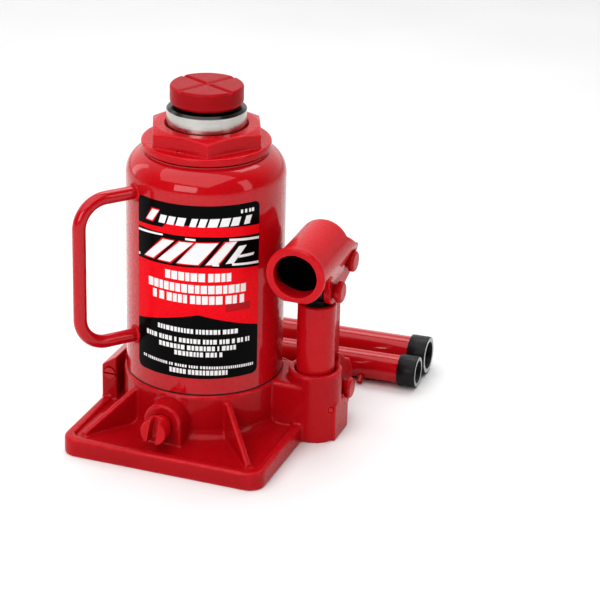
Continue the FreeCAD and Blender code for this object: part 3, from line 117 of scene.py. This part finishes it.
# ------------------------------------------------------------------ materials
class Surface:
    """A Principled material with noise-driven colour, roughness and bump."""

    def __init__(self, name, metallic=0.0, coat=0.0, coat_roughness=0.1, specular=0.5):
        self.material = bpy.data.materials.new(name)
        self.material.use_nodes = True
        self.tree = self.material.node_tree
        self.shader = self.tree.nodes["Principled BSDF"]
        self.shader.inputs["Metallic"].default_value = metallic
        self.shader.inputs["Coat Weight"].default_value = coat
        self.shader.inputs["Coat Roughness"].default_value = coat_roughness
        self.shader.inputs["Specular IOR Level"].default_value = specular
        self.place = self.tree.nodes.new("ShaderNodeTexCoord").outputs["Object"]
        self.normal = None

    def join(self, source, target):
        self.tree.links.new(source, target)

    def scaled(self, factors):
        mapping = self.tree.nodes.new("ShaderNodeMapping")
        mapping.inputs["Scale"].default_value = factors
        self.join(self.place, mapping.inputs["Vector"])
        return mapping.outputs["Vector"]

    def noise(self, per_metre, detail=2.0, roughness=0.5, factors=None, distortion=0.0):
        node = self.tree.nodes.new("ShaderNodeTexNoise")
        node.inputs["Scale"].default_value = per_metre
        node.inputs["Detail"].default_value = detail
        node.inputs["Roughness"].default_value = roughness
        node.inputs["Distortion"].default_value = distortion
        self.join(self.scaled(factors) if factors else self.place, node.inputs["Vector"])
        return node.outputs[0]

    def ramp(self, value, stops):
        node = self.tree.nodes.new("ShaderNodeValToRGB")
        elements = node.color_ramp.elements
        while len(elements) < len(stops):
            elements.new(0.5)
        for element, (position, colour) in zip(elements, stops):
            element.position = position
            element.color = (*colour, 1.0)
        self.join(value, node.inputs[0])
        return node.outputs["Color"]

    def between(self, value, low, high, from_low=0.3, from_high=0.7):
        node = self.tree.nodes.new("ShaderNodeMapRange")
        node.inputs["From Min"].default_value = from_low
        node.inputs["From Max"].default_value = from_high
        node.inputs["To Min"].default_value = low
        node.inputs["To Max"].default_value = high
        self.join(value, node.inputs["Value"])
        return node.outputs["Result"]

    def math(self, kind, a, b):
        node = self.tree.nodes.new("ShaderNodeMath")
        node.operation = kind
        for socket, value in zip(node.inputs, (a, b)):
            if isinstance(value, (int, float)):
                socket.default_value = value
            else:
                self.join(value, socket)
        return node.outputs[0]

    def mix(self, share, a, b):
        node = self.tree.nodes.new("ShaderNodeMix")
        node.data_type = "RGBA"
        self.join(share, node.inputs[0])
        for socket, value in ((node.inputs[6], a), (node.inputs[7], b)):
            if isinstance(value, tuple):
                socket.default_value = (*value, 1.0)
            else:
                self.join(value, socket)
        return node.outputs[2]

    def colour(self, source):
        self.join(source, self.shader.inputs["Base Color"])

    def rough(self, source):
        self.join(source, self.shader.inputs["Roughness"])

    def bump(self, height, depth_mm, strength=1.0):
        node = self.tree.nodes.new("ShaderNodeBump")
        node.inputs["Strength"].default_value = strength
        node.inputs["Distance"].default_value = depth_mm * MM
        self.join(height, node.inputs["Height"])
        if self.normal:
            self.join(self.normal, node.inputs["Normal"])
        self.normal = node.outputs["Normal"]
        self.join(self.normal, self.shader.inputs["Normal"])


def tint(colour, share):
    return tuple(min(1.0, channel * share) for channel in colour)


RED = (0.56, 0.0052, 0.0125)
# lighter red used as a painted highlight along convex edges
EDGE_HIGHLIGHT_RED = (0.72, 0.022, 0.036)


def red_paint(name, cast=0.0, edges=False, gloss=0.22, bore=False, coat=0.4, shade=1.0):
    """Sprayed gloss enamel.

    cast is how much rough casting shows through it, and shade how light its red is. edges paints a lighter
    red along convex edges as a painted highlight, and bore paints the inside of the lever socket near-black
    as painted shade.
    """
    s = Surface(name, coat=coat, coat_roughness=0.05, specular=0.06)
    cloud = s.noise(22, 3, 0.55)
    tones = ((0.25, 0.88), (0.55, 1.0), (0.85, 1.1))
    tone = s.ramp(cloud, [(at, tint(RED, share * shade)) for at, share in tones])
    specks = s.between(s.noise(2600, 2, 0.6), 0.0, 0.10, 0.62, 0.8)
    tone = s.mix(specks, tone, tint(RED, 0.55))
    # painted shade: the socket bore goes near-black past its lip, standing in for the shade inside it
    if bore:
        inside = s.tree.nodes.new("ShaderNodeAttribute")
        inside.attribute_name = "bore"
        tone = s.mix(inside.outputs["Fac"], tone, (0.004, 0.002, 0.002))
    if edges:
        # painted highlight: convex edges, read from the edge attribute, get a lighter red in noisy patches
        attribute = s.tree.nodes.new("ShaderNodeAttribute")
        attribute.attribute_name = "edge"
        edge_highlight = s.math("MULTIPLY", attribute.outputs["Fac"], s.between(s.noise(240, 4, 0.6), 0.1, 0.6))
        tone = s.mix(edge_highlight, tone, EDGE_HIGHLIGHT_RED)
    s.colour(tone)
    s.rough(s.between(s.noise(420, 4, 0.6), gloss, gloss + 0.14))
    s.bump(s.noise(210, 2, 0.5), 0.10, 0.35)
    s.bump(s.noise(1500, 2, 0.5), 0.02, 0.5)
    if cast:
        s.bump(s.noise(330, 6, 0.62, distortion=0.4), 0.35 * cast, 0.6)
        s.bump(s.noise(95, 3, 0.5), 0.5 * cast, 0.5)
    return s.material


def steel(name, colour, roughness, turned=0.0, dull=0.0):
    """Machined steel. turned is the depth of the tool rings, in millimetres."""
    s = Surface(name, metallic=1.0, specular=0.5)
    stain = s.noise(60, 5, 0.6)
    s.colour(s.ramp(stain, [(0.3, tint(colour, 0.8 - dull)), (0.5, colour), (0.75, tint(colour, 1.08))]))
    rings = s.noise(1.0, 3, 0.6, factors=(25, 25, 5200))
    s.rough(s.between(rings, roughness, roughness + 0.16))
    if turned:
        s.bump(rings, turned, 0.5)
    s.bump(s.noise(900, 3, 0.55), 0.01, 0.4)
    return s.material


def ram_steel():
    """Ground and polished up its side; its top face and top edge are painted near-black, a painted shadow of
    the saddle.
    """
    s = Surface("ram_steel", metallic=1.0)
    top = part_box("ram")[1].z
    # painted shadow: the top face and the top 1.1 mm of the side go near-black, for the shade under the
    # saddle
    fades, shadow_reach = 1.1 * MM, 1.5 * MM
    height = s.tree.nodes.new("ShaderNodeSeparateXYZ")
    s.join(s.place, height.inputs[0])
    saddle_shadow = s.between(height.outputs["Z"], 0.0, 1.0, top - shadow_reach, top - fades)
    bright = s.ramp(s.noise(45, 4, 0.6), [(0.3, (0.47, 0.46, 0.43)), (0.6, (0.60, 0.59, 0.56))])
    s.colour(s.mix(saddle_shadow, bright, (0.055, 0.052, 0.05)))
    rings = s.noise(1.0, 3, 0.6, factors=(25, 25, 5200))
    s.rough(s.between(rings, 0.17, 0.3))
    s.bump(rings, 0.02, 0.5)
    return s.material


def rubber(name, colour):
    s = Surface(name, specular=0.35)
    s.colour(s.ramp(s.noise(300, 4, 0.6), [(0.3, tint(colour, 0.7)), (0.7, tint(colour, 1.5))]))
    s.rough(s.between(s.noise(500, 3, 0.6), 0.45, 0.7))
    s.bump(s.noise(1800, 3, 0.6), 0.03, 0.6)
    return s.material


def black_plastic(name):
    s = Surface(name, specular=0.3)
    s.colour(s.ramp(s.noise(160, 4, 0.6), [(0.3, (0.003, 0.003, 0.0034)), (0.7, (0.009, 0.009, 0.010))]))
    s.rough(s.between(s.noise(600, 4, 0.6), 0.3, 0.5))
    s.bump(s.noise(2400, 2, 0.5), 0.02, 0.6)
    return s.material


def brass_mesh(name):
    s = Surface(name, metallic=1.0)
    wave = s.tree.nodes.new("ShaderNodeTexWave")
    wave.inputs["Scale"].default_value = 900
    s.join(s.place, wave.inputs["Vector"])
    across = s.tree.nodes.new("ShaderNodeTexWave")
    across.bands_direction = "Y"
    across.inputs["Scale"].default_value = 900
    s.join(s.place, across.inputs["Vector"])
    weave = s.math("MULTIPLY", wave.outputs["Fac"], across.outputs["Fac"])
    s.colour(s.ramp(weave, [(0.1, (0.05, 0.03, 0.01)), (0.6, (0.62, 0.42, 0.16))]))
    s.rough(s.between(weave, 0.25, 0.6, 0.0, 1.0))
    s.bump(weave, 0.15, 0.8)
    return s.material


def film(name, colour, spread=0.15):
    """Printed vinyl under a clear laminate."""
    s = Surface(name, coat=0.06, coat_roughness=0.1, specular=0.04)
    grain = s.noise(1400, 3, 0.6)
    s.colour(s.ramp(grain, [(0.3, tint(colour, 1 - spread)), (0.7, tint(colour, 1 + spread / 2))]))
    s.rough(s.between(s.noise(120, 3, 0.5), 0.24, 0.4))
    s.bump(s.noise(160, 2, 0.5), 0.05, 0.3)
    return s.material


PAINT = red_paint("red_paint_smooth", coat=0.75, shade=0.92)
CAST_PAINT = red_paint("red_paint_cast", cast=0.6, edges=True, gloss=0.24, coat=0.3, shade=0.78)
FORGED_PAINT = red_paint("red_paint_forged", cast=0.25, edges=True, gloss=0.22, coat=0.3, shade=0.92)
SOCKET_PAINT = red_paint("red_paint_socket", cast=0.25, edges=True, gloss=0.22, bore=True, coat=0.3)
SADDLE_PAINT = red_paint("red_paint_saddle", cast=0.25, edges=True, gloss=0.3, coat=0.12, shade=0.62)
ROUGH_PAINT = red_paint("red_paint_rough", cast=1.0, edges=True, gloss=0.3)
BARREL_PAINT = red_paint("red_paint_bar", cast=0.12, gloss=0.2)
RAM_STEEL = ram_steel()
BARE_STEEL = steel("turned_steel", (0.50, 0.49, 0.47), 0.3, turned=0.05, dull=0.1)
# dark steel: the extension screw's finish, and on the pump plunger painted shade for the gap under the socket
DARK_STEEL = steel("dark_steel_and_shade", (0.07, 0.066, 0.062), 0.32, turned=0.04, dull=0.2)
BALL_STEEL = steel("ball_steel", (0.72, 0.72, 0.72), 0.06)
RUBBER = rubber("black_rubber", (0.012, 0.012, 0.012))
COPPER = steel("soft_copper", (0.72, 0.32, 0.18), 0.3, turned=0.03)
MESH = brass_mesh("brass_mesh")
PLASTIC = black_plastic("black_plastic")
RIM = steel("bare_rim", (0.50, 0.49, 0.48), 0.45)

BY_SLOT = {
    "red_paint": PAINT,
    "bare_steel": BARE_STEEL,
    "ball_steel": BALL_STEEL,
    "black_rubber": RUBBER,
    "soft_copper": COPPER,
    "brass_mesh": MESH,
    "black_plastic": PLASTIC,
    "label_film": PAINT,
}
BY_NODE = {
    "ram": RAM_STEEL,
    "pump_barrel": BARREL_PAINT,
    # painted shade: the plunger is made dark to stand for the shadow in the gap under the socket
    "pump_plunger": DARK_STEEL,
    "saddle": SADDLE_PAINT,
}


def paint_nodes():
    for name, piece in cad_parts.items():
        for slot in piece.material_slots:
            base = slot.material.name.split(".")[0] if slot.material else ""
            slot.material = BY_NODE.get(name) or BY_SLOT.get(base) or PAINT


def give(piece, *materials):
    piece.data.materials.clear()
    for material in materials:
        piece.data.materials.append(material)
    return piece


# ------------------------------------------------------------------ castings and forgings
def mark_bore_shade(mesh):
    """Painted shade: past a short red lip, the lever socket's bore fades to near-black, standing in for the
    shade inside it.
    """
    low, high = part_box("handle_socket")
    lip = 4 * MM
    mouth = [v.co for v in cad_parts["handle_socket"].data.vertices if v.co.y < low.y + lip]
    middle = Vector((low.x + high.x, 0.0, min(c.z for c in mouth) + max(c.z for c in mouth))) / 2
    reach = min(math.hypot(c.x - middle.x, c.z - middle.z) for c in mouth)
    unshaded_depth, fade, end = 3 * MM, 5 * MM, 38 * MM
    values = mesh.attributes.new("bore", "FLOAT", "POINT").data
    for vertex, value in zip(mesh.vertices, values):
        depth = vertex.co.y - low.y
        off = math.hypot(vertex.co.x - middle.x, vertex.co.z - middle.z)
        inside = off < reach + 0.7 * MM and depth < end
        value.value = min(1.0, max(0.0, (depth - unshaded_depth) / fade)) if inside else 0.0


def add_soft_parts():
    give(soft_copy("base_casting", "base_soft", "jack_body", 0.62, 6), CAST_PAINT)
    socket = give(soft_copy("handle_socket", "socket_soft", "socket", 0.42, 5), SOCKET_PAINT)
    mark_bore_shade(socket.data)
    give(soft_copy("top_nut", "top_nut_soft", "jack_body", 0.42, 3), FORGED_PAINT)
    give(soft_copy("pump_link", "link_soft", "link", 0.35, 5), FORGED_PAINT)
    give(soft_copy("release_screw", "release_screw_soft", "release_screw", 0.26, 4), ROUGH_PAINT)
    give(soft_copy("plunger_pin", "plunger_pin_soft", "socket", 0.24, 5), FORGED_PAINT)
    give(soft_copy("link_top_pin", "link_top_pin_soft", "socket", 0.24, 5), FORGED_PAINT)
    give(soft_copy("link_base_pin", "link_base_pin_soft", "jack_body", 0.24, 5), FORGED_PAINT)
    give(soft_copy("saddle", "saddle_soft", "screw_and_saddle", 0.3, 3), SADDLE_PAINT)


# ------------------------------------------------------------------ extension screw
def add_extension_screw():
    """Stands for the plain CAD cylinder: the same size over the crests, with a real 3 mm thread."""
    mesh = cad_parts["extension_screw"].data
    low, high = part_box("extension_screw")
    radius = max(math.hypot(v.co.x, v.co.y) for v in mesh.vertices)
    levels = sorted({round(v.co.z, 6) for v in mesh.vertices if math.hypot(v.co.x, v.co.y) > radius - 1e-5})
    thread_low, thread_high = levels[0], levels[-1]
    tip = [v.co for v in mesh.vertices if v.co.z > thread_high + 1e-5]
    tip_radius = max((math.hypot(c.x, c.y) for c in tip), default=radius)
    pitch, depth, runout = 3.0 * MM, 1.35 * MM, 1.5 * MM
    around, step = 96, 0.3 * MM
    bm = bmesh.new()
    rows = []
    count = int((thread_high - thread_low) / step)
    for i in range(count + 1):
        z = thread_low + (thread_high - thread_low) * i / count
        fade = min(1.0, (thread_high - z) / runout, (z - thread_low) / runout)
        row = []
        for j in range(around):
            turn = 2 * math.pi * j / around
            phase = ((z - thread_low) / pitch - turn / (2 * math.pi)) % 1.0
            wave = min(1.0, max(0.0, 2.6 * abs(phase - 0.5) - 0.25))
            r = radius - depth * (1 - wave) * max(0.0, fade) - 0.02 * MM
            row.append(bm.verts.new((r * math.cos(turn), r * math.sin(turn), z)))
        rows.append(row)

    def ring_at(r, z):
        turns = [2 * math.pi * j / around for j in range(around)]
        return [bm.verts.new((r * math.cos(turn), r * math.sin(turn), z)) for turn in turns]

    below = [ring_at(radius - 1.6 * MM, low.z + 0.8 * MM), ring_at(radius - 2.4 * MM, low.z)]
    above = [ring_at(min(tip_radius, radius - 1 * MM), thread_high), ring_at(tip_radius - 0.2 * MM, high.z)]
    order = list(reversed(below)) + rows + above
    for lower, upper in zip(order, order[1:]):
        for j in range(around):
            k = (j + 1) % around
            bm.faces.new((lower[j], lower[k], upper[k], upper[j]))
    bm.faces.new(list(reversed(order[0])))
    bm.faces.new(order[-1])
    piece = from_bmesh("extension_screw_threaded", bm)
    give(piece, DARK_STEEL)
    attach(piece, "screw_and_saddle")
    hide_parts("extension_screw")


# ------------------------------------------------------------------ carry handle welds
def add_welds():
    """Two rippled weld beads where the carry handle meets the tank."""
    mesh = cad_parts["carry_handle"].data
    tank_low, tank_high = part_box("reservoir_tank")
    tank_r = (tank_high.x - tank_low.x) / 2
    far = max(mesh.vertices, key=lambda v: math.hypot(v.co.x, v.co.y)).co
    azimuth = math.atan2(far.y, far.x)
    roots = [v.co for v in mesh.vertices if math.hypot(v.co.x, v.co.y) < tank_r + 0.4 * MM]
    middle = (tank_low.z + tank_high.z) / 2
    around, bead = 72, 14
    groups = {"weld_high": [c for c in roots if c.z > middle], "weld_low": [c for c in roots if c.z < middle]}
    for name, group in groups.items():
        z0 = (max(c.z for c in group) + min(c.z for c in group)) / 2
        rod = (max(c.z for c in group) - min(c.z for c in group)) / 2
        bm = bmesh.new()
        rows = []
        for i in range(around):
            turn = 2 * math.pi * i / around
            ripple = 0.14 * math.cos(turn * 18)
            lump = 0.5 * noise.noise(Vector((math.cos(turn) * 1.3, math.sin(turn) * 1.3, z0 * 37)))
            thick = (1.25 + ripple + lump) * MM
            row = []
            for j in range(bead):
                lean = 2 * math.pi * j / bead
                reach = rod + 0.15 * MM + thick * math.cos(lean)
                side, up = reach * math.cos(turn), reach * math.sin(turn)
                out = tank_r - 0.1 * MM + thick * 0.95 * math.sin(lean)
                angle = azimuth + side / tank_r
                row.append(bm.verts.new((out * math.cos(angle), out * math.sin(angle), z0 + up)))
            rows.append(row)
        for a, b in zip(rows, rows[1:] + rows[:1]):
            for j in range(bead):
                k = (j + 1) % bead
                bm.faces.new((a[j], a[k], b[k], b[j]))
        piece = give(from_bmesh(name, bm), FORGED_PAINT)
        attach(piece, "jack_body")


# ------------------------------------------------------------------ lever ends
def add_ferrule(node, tube, name, body):
    """Dipped black end of a lever section: rounded sleeve, bare rim, and black for a little way inside."""
    points = [v.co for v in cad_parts[node].data.vertices]
    middle = (max(p.x for p in points) + min(p.x for p in points)) / 2
    unique = {(round(p.x, 6), round(p.y, 6), round(p.z, 6)) for p in points}
    halves = [[Vector(p) for p in unique if p[0] < middle], [Vector(p) for p in unique if p[0] >= middle]]
    start, end = [sum(half, Vector()) / len(half) for half in halves]
    axis = (end - start).normalized()
    along = [(p - start).dot(axis) for p in points]
    first, last = min(along), max(along)
    outer = max((p - start - axis * a).length for p, a in zip(points, along))
    tube_points = [v.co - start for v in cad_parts[tube].data.vertices]
    bore = min((p - axis * p.dot(axis)).length for p in tube_points)
    inner = bore - 0.05 * MM
    base = start + axis * first
    long = last - first
    side = axis.cross(Vector((0, 0, 1))).normalized()
    up = side.cross(axis)
    skin = outer - 0.02 * MM
    face = long - 0.02 * MM
    profile = [
        (outer - 0.9 * MM, 0.02 * MM), (outer - 0.25 * MM, 0.05 * MM), (skin, 0.35 * MM),
        (skin, long * 0.5), (skin, long - 0.45 * MM), (outer - 0.16 * MM, long - 0.12 * MM),
        (outer - 0.45 * MM, face), (inner + 0.25 * MM, face), (inner, long - 0.3 * MM),
        (inner, long * 0.5), (inner, long * 0.1), (inner + 0.1 * MM, long * 0.1),
    ]
    rim_row = 6
    around = 72
    turns = [2 * math.pi * j / around for j in range(around)]
    bm = bmesh.new()
    rows = []
    for radius, distance in profile:
        centre = base + axis * distance
        rows.append([bm.verts.new(centre + (side * math.cos(t) + up * math.sin(t)) * radius) for t in turns])
    for i, (a, b) in enumerate(zip(rows, rows[1:])):
        for j in range(around):
            k = (j + 1) % around
            quad = bm.faces.new((a[j], a[k], b[k], b[j]))
            quad.material_index = 1 if i == rim_row else 0
    piece = from_bmesh(name, bm)
    piece.data.materials.append(PLASTIC)
    piece.data.materials.append(RIM)
    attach(piece, body)
    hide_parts(node)


# ------------------------------------------------------------------ label
class Label:
    """Printed sticker on the tank, drawn in degrees round it and millimetres up it."""

    def __init__(self):
        low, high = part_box("tank_label")
        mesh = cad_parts["tank_label"].data
        angles = [math.degrees(math.atan2(v.co.x, -v.co.y)) for v in mesh.vertices]
        self.left, self.right = min(angles), max(angles)
        self.low, self.high = low.z / MM, high.z / MM
        radii = [math.hypot(v.co.x, v.co.y) for v in mesh.vertices]
        self.inner, self.outer = min(radii), max(radii)
        self.bm = bmesh.new()
        self.materials = []

    def index(self, material):
        if material not in self.materials:
            self.materials.append(material)
        return self.materials.index(material)

    def point(self, degrees, height, level):
        radius = self.inner + (self.outer - self.inner) * level
        turn = math.radians(degrees)
        return radius * math.sin(turn), -radius * math.cos(turn), height * MM

    def patch(self, place, columns, rows, level, material, foot=None):
        """A thin raised patch. place(u, v) gives degrees and millimetres for u and v from 0 to 1."""
        index = self.index(material)
        foot = level - 0.3 if foot is None else foot
        grid = []
        for i in range(columns + 1):
            column = [place(i / columns, j / rows) for j in range(rows + 1)]
            grid.append([self.bm.verts.new(self.point(*spot, level)) for spot in column])
        faces = []
        for i in range(columns):
            for j in range(rows):
                quad = (grid[i][j], grid[i + 1][j], grid[i + 1][j + 1], grid[i][j + 1])
                faces.append(self.bm.faces.new(quad))
        border = [(i, 0) for i in range(columns)] + [(columns, j) for j in range(rows)]
        border += [(i, rows) for i in range(columns, 0, -1)] + [(0, j) for j in range(rows, 0, -1)]
        skirt = [self.bm.verts.new(self.point(*place(i / columns, j / rows), foot)) for i, j in border]
        for n, (i, j) in enumerate(border):
            k, m = border[(n + 1) % len(border)]
            faces.append(self.bm.faces.new((grid[i][j], skirt[n], skirt[(n + 1) % len(border)], grid[k][m])))
        for face in faces:
            face.material_index = index

    def sheet(self, left, right, low, high, corner, level, material):
        """Rounded rectangle: columns run up to a height that the corner arcs cap."""
        mm_per_degree = math.pi * self.outer / MM / 180

        def cap(degrees):
            edge = min(degrees - left, right - degrees) * mm_per_degree
            if edge >= corner:
                return 0.0
            return corner - math.sqrt(max(0.0, corner ** 2 - (corner - edge) ** 2))

        def place(u, v):
            eased = 0.5 - 0.5 * math.cos(math.pi * u)
            degrees = left + (right - left) * (0.6 * u + 0.4 * eased)
            lift = cap(degrees)
            return degrees, low + lift + (high - low - 2 * lift) * v

        self.patch(place, 120, 24, level, material, foot=0.0)

    def band(self, bottom, top, level, material, columns=60):
        """A strip between two outlines, each a list of (degrees, height) from left to right."""
        def at(outline, u):
            left, right = outline[0][0], outline[-1][0]
            degrees = left + (right - left) * u
            for (a, b), (c, d) in zip(outline, outline[1:]):
                if degrees <= c or (c, d) == outline[-1]:
                    share = 0.0 if c == a else min(1.0, max(0.0, (degrees - a) / (c - a)))
                    return degrees, b + (d - b) * share
            return outline[-1]

        def place(u, v):
            low, high = at(bottom, u), at(top, u)
            return low[0] + (high[0] - low[0]) * v, low[1] + (high[1] - low[1]) * v

        self.patch(place, columns, 2, level, material)

    def slab(self, left, right, low, high, lean, level, material):
        """A leaning block: lean is how far its top is pushed to the right, in degrees."""
        columns = max(2, int(right - left))
        rows = max(2, int(abs(lean)) + 1)
        self.patch(lambda u, v: (left + (right - left) * u + lean * v, low + (high - low) * v),
                   columns, rows, level, material)

    def row(self, left, right, height, tall, level, material, seed, drop=0.0, lean=0.0,
            wide=(2.2, 4.2), gap=0.7):
        """A row of plain blocks in place of a line of print. drop is how far its right end sinks."""
        rng = random.Random(seed)
        degrees = left
        while degrees < right - 0.6:
            end = min(right, degrees + rng.uniform(*wide) * tall / 4.0)
            middle = height + drop * (degrees - left) / (right - left)
            self.slab(degrees, end, middle - tall / 2, middle + tall / 2, lean, level, material)
            degrees = end + gap * (2.6 if rng.random() < 0.16 else 1.0)

    def finished(self):
        piece = from_bmesh("label_print", self.bm, smooth=False)
        for material in self.materials:
            piece.data.materials.append(material)
        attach(piece, "jack_body")
        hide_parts("tank_label")
        return piece


def add_label():
    black = film("label_black", (0.0022, 0.0022, 0.0024), 0.3)
    red = film("label_red", (0.84, 0.006, 0.016))
    white = film("label_white", (0.86, 0.86, 0.86), 0.05)
    dull = film("label_dull_red", (0.50, 0.012, 0.022))
    label = Label()
    left, right = label.left + 0.15, label.right - 0.15
    label.sheet(label.left, label.right, label.low, label.high, 3.2, 0.45, black)
    label.band([(left, 114.6), (-9.3, 114.8), (23.3, 114.9), (right, 113.7)],
               [(left, 116.7), (-9.5, 117.7), (-6.6, 120.6), (24.0, 120.2), (right, 118.5)], 0.7, red, 96)
    label.band([(left, 66.2), (3.1, 72.0), (17.4, 74.0), (35.8, 70.6), (right, 65.6)],
               [(left, 98.3), (23.5, 99.1), (right, 96.7)], 0.7, red, 96)
    for bottom, top in (
        ([(left, 112.2), (-9.3, 113.4)], [(left, 113.4), (-9.3, 114.3)]),
        ([(7.7, 112.9), (15.0, 112.7)], [(7.7, 114.0), (15.0, 113.8)]),
        ([(38.6, 112.3), (right, 110.9)], [(38.6, 113.6), (right, 112.2)]),
        ([(26.9, 99.8), (31.5, 99.6)], [(26.9, 100.9), (31.5, 100.7)]),
        ([(40.8, 99.4), (right, 98.1)], [(40.8, 100.6), (right, 99.4)]),
        ([(left, 99.4), (-31.0, 99.5)], [(left, 100.6), (-31.0, 100.7)]),
    ):
        label.band(bottom, top, 0.75, white, 24)
    for a, b, lean in ((-26.0, -17.5, 17.0), (-13.5, -3.5, 17.0), (1.5, 17.0, 14.0), (22.0, 30.5, 14.0)):
        label.slab(a - 0.9, b + 0.9, 99.9, 112.3, lean, 0.7, red)
        label.slab(a, b, 100.5, 111.7, lean, 0.85, white)
    label.slab(36.0, 42.0, 100.6, 109.2, 10.0, 0.85, white)
    label.slab(45.5, 57.5, 103.1, 104.5, 1.0, 0.75, white)
    label.slab(-25.0, -17.5, 119.2, 126.6, 6.0, 0.75, red)
    label.slab(-24.2, -18.3, 119.9, 125.9, 6.0, 0.9, white)
    label.row(-13.0, 54.0, 122.0, 4.3, 0.75, white, 3, drop=0.2, lean=2.0, wide=(4.2, 6.4), gap=1.5)
    label.row(47.0, 58.0, 126.9, 1.9, 0.75, white, 4, wide=(3.0, 4.6), gap=0.6)
    label.row(-7.3, 41.6, 94.0, 4.4, 0.85, white, 5, drop=-0.5, wide=(2.6, 4.4), gap=0.8)
    label.row(-21.8, 52.1, 88.0, 4.4, 0.85, white, 6, drop=-1.0, wide=(2.6, 4.4), gap=0.8)
    label.row(-17.8, 50.8, 82.4, 4.4, 0.85, white, 7, drop=-1.0, wide=(2.6, 4.4), gap=0.8)
    label.slab(36.5, 55.5, 75.2, 79.4, 0.0, 0.8, dull)
    label.row(-13.4, 46.8, 65.6, 2.5, 0.75, white, 8, drop=-1.2, wide=(2.2, 4.4), gap=0.7)
    label.row(-23.8, 55.3, 60.4, 2.5, 0.75, white, 9, drop=-1.3, wide=(2.2, 4.4), gap=0.7)
    label.row(-12.3, 45.6, 56.4, 2.5, 0.75, white, 10, drop=-0.6, wide=(2.2, 4.4), gap=0.7)
    label.row(0.0, 35.2, 53.0, 2.5, 0.75, white, 11, drop=-0.5, wide=(2.2, 4.4), gap=0.7)
    label.row(-27.2, 58.9, 47.0, 1.5, 0.75, white, 12, drop=-2.1, wide=(2.4, 4.4), gap=0.6)
    label.row(-3.8, 38.5, 43.3, 2.6, 0.75, white, 13, drop=-0.6, wide=(2.6, 3.8), gap=0.6)
    label.finished()


# ------------------------------------------------------------------ studio
def look(place, target, roll=0.0):
    """Matrix of a camera or lamp at place that looks at target."""
    ahead = (Vector(target) - Vector(place)).normalized()
    right = ahead.cross(Vector((0, 0, 1))).normalized()
    up = right.cross(ahead)
    turned_right = right * math.cos(roll) + up * math.sin(roll)
    turned_up = up * math.cos(roll) - right * math.sin(roll)
    matrix = Matrix((turned_right, turned_up, -ahead)).transposed().to_4x4()
    matrix.translation = Vector(place)
    return matrix


def add_camera():
    camera = bpy.data.objects.new("camera", bpy.data.cameras.new("camera"))
    scene.collection.objects.link(camera)
    place, target, roll = (0.39204, -0.97009, 0.51904), (0.0, 0.0, 0.09), 0.008256
    camera.matrix_world = look(place, target, roll)
    camera.data.lens = 135.60
    camera.data.sensor_width = 36.0
    camera.data.shift_x = 0.15745
    camera.data.shift_y = -0.07685
    camera.data.clip_start = 0.01
    camera.data.clip_end = 60.0
    scene.camera = camera


def add_light(name, place, size, power, target=(0.0, 0.0, 0.08)):
    light = bpy.data.lights.new(name, "AREA")
    light.shape = "RECTANGLE"
    light.size, light.size_y = size
    light.energy = power
    lamp = bpy.data.objects.new(name, light)
    scene.collection.objects.link(lamp)
    lamp.matrix_world = look(place, target)


def add_studio():
    paper = Surface("floor_paper", specular=0.2)
    paper.colour(paper.ramp(paper.noise(6, 2, 0.5), [(0.3, (0.86, 0.86, 0.86)), (0.7, (0.9, 0.9, 0.9))]))
    paper.rough(paper.between(paper.noise(40, 3, 0.5), 0.6, 0.7))
    bm = bmesh.new()
    bmesh.ops.create_grid(bm, x_segments=24, y_segments=24, size=8.0)
    floor = give(from_bmesh("floor", bm), paper.material)
    floor.location.z = -0.0002
    world = bpy.data.worlds.new("studio")
    scene.world = world
    world.use_nodes = True
    tree = world.node_tree
    background = tree.nodes["Background"]
    direction = tree.nodes.new("ShaderNodeTexCoord").outputs["Generated"]
    dot = tree.nodes.new("ShaderNodeVectorMath")
    dot.operation = "DOT_PRODUCT"
    dot.inputs[1].default_value = (-0.37, 0.93, 0.05)
    tree.links.new(direction, dot.inputs[0])
    spread = tree.nodes.new("ShaderNodeMapRange")
    spread.inputs["From Min"].default_value = -0.1
    spread.inputs["From Max"].default_value = 0.9
    spread.inputs["To Min"].default_value = 0.04
    spread.inputs["To Max"].default_value = 1.0
    tree.links.new(dot.outputs["Value"], spread.inputs["Value"])
    tree.links.new(spread.outputs["Result"], background.inputs["Strength"])
    background.inputs["Color"].default_value = (1.0, 1.0, 1.0, 1.0)
    add_light("overhead", (-0.1, -0.45, 1.15), (1.7, 1.3), 12.0)
    add_light("front_fill", (-0.2, -1.55, 0.62), (0.9, 0.7), 7.5, (0.0, 0.0, 0.06))
    add_light("left_strip", (-1.15, 0.25, 0.5), (0.25, 0.9), 1.0)
    add_light("right_strip", (1.15, -0.15, 0.55), (0.3, 0.9), 1.8)
    add_light("back_top", (0.0, 0.75, 1.35), (1.1, 0.6), 6.0)
    scene.view_settings.view_transform = "Standard"
    scene.view_settings.look = "Medium High Contrast"


paint_nodes()
add_soft_parts()
add_extension_screw()
add_welds()
add_ferrule("slim_lever_ferrule", "slim_lever_tube", "slim_ferrule_dipped", "slim_lever")
add_ferrule("wide_lever_ferrule", "wide_lever_tube", "wide_ferrule_dipped", "wide_lever")
add_label()
add_studio()
add_camera()
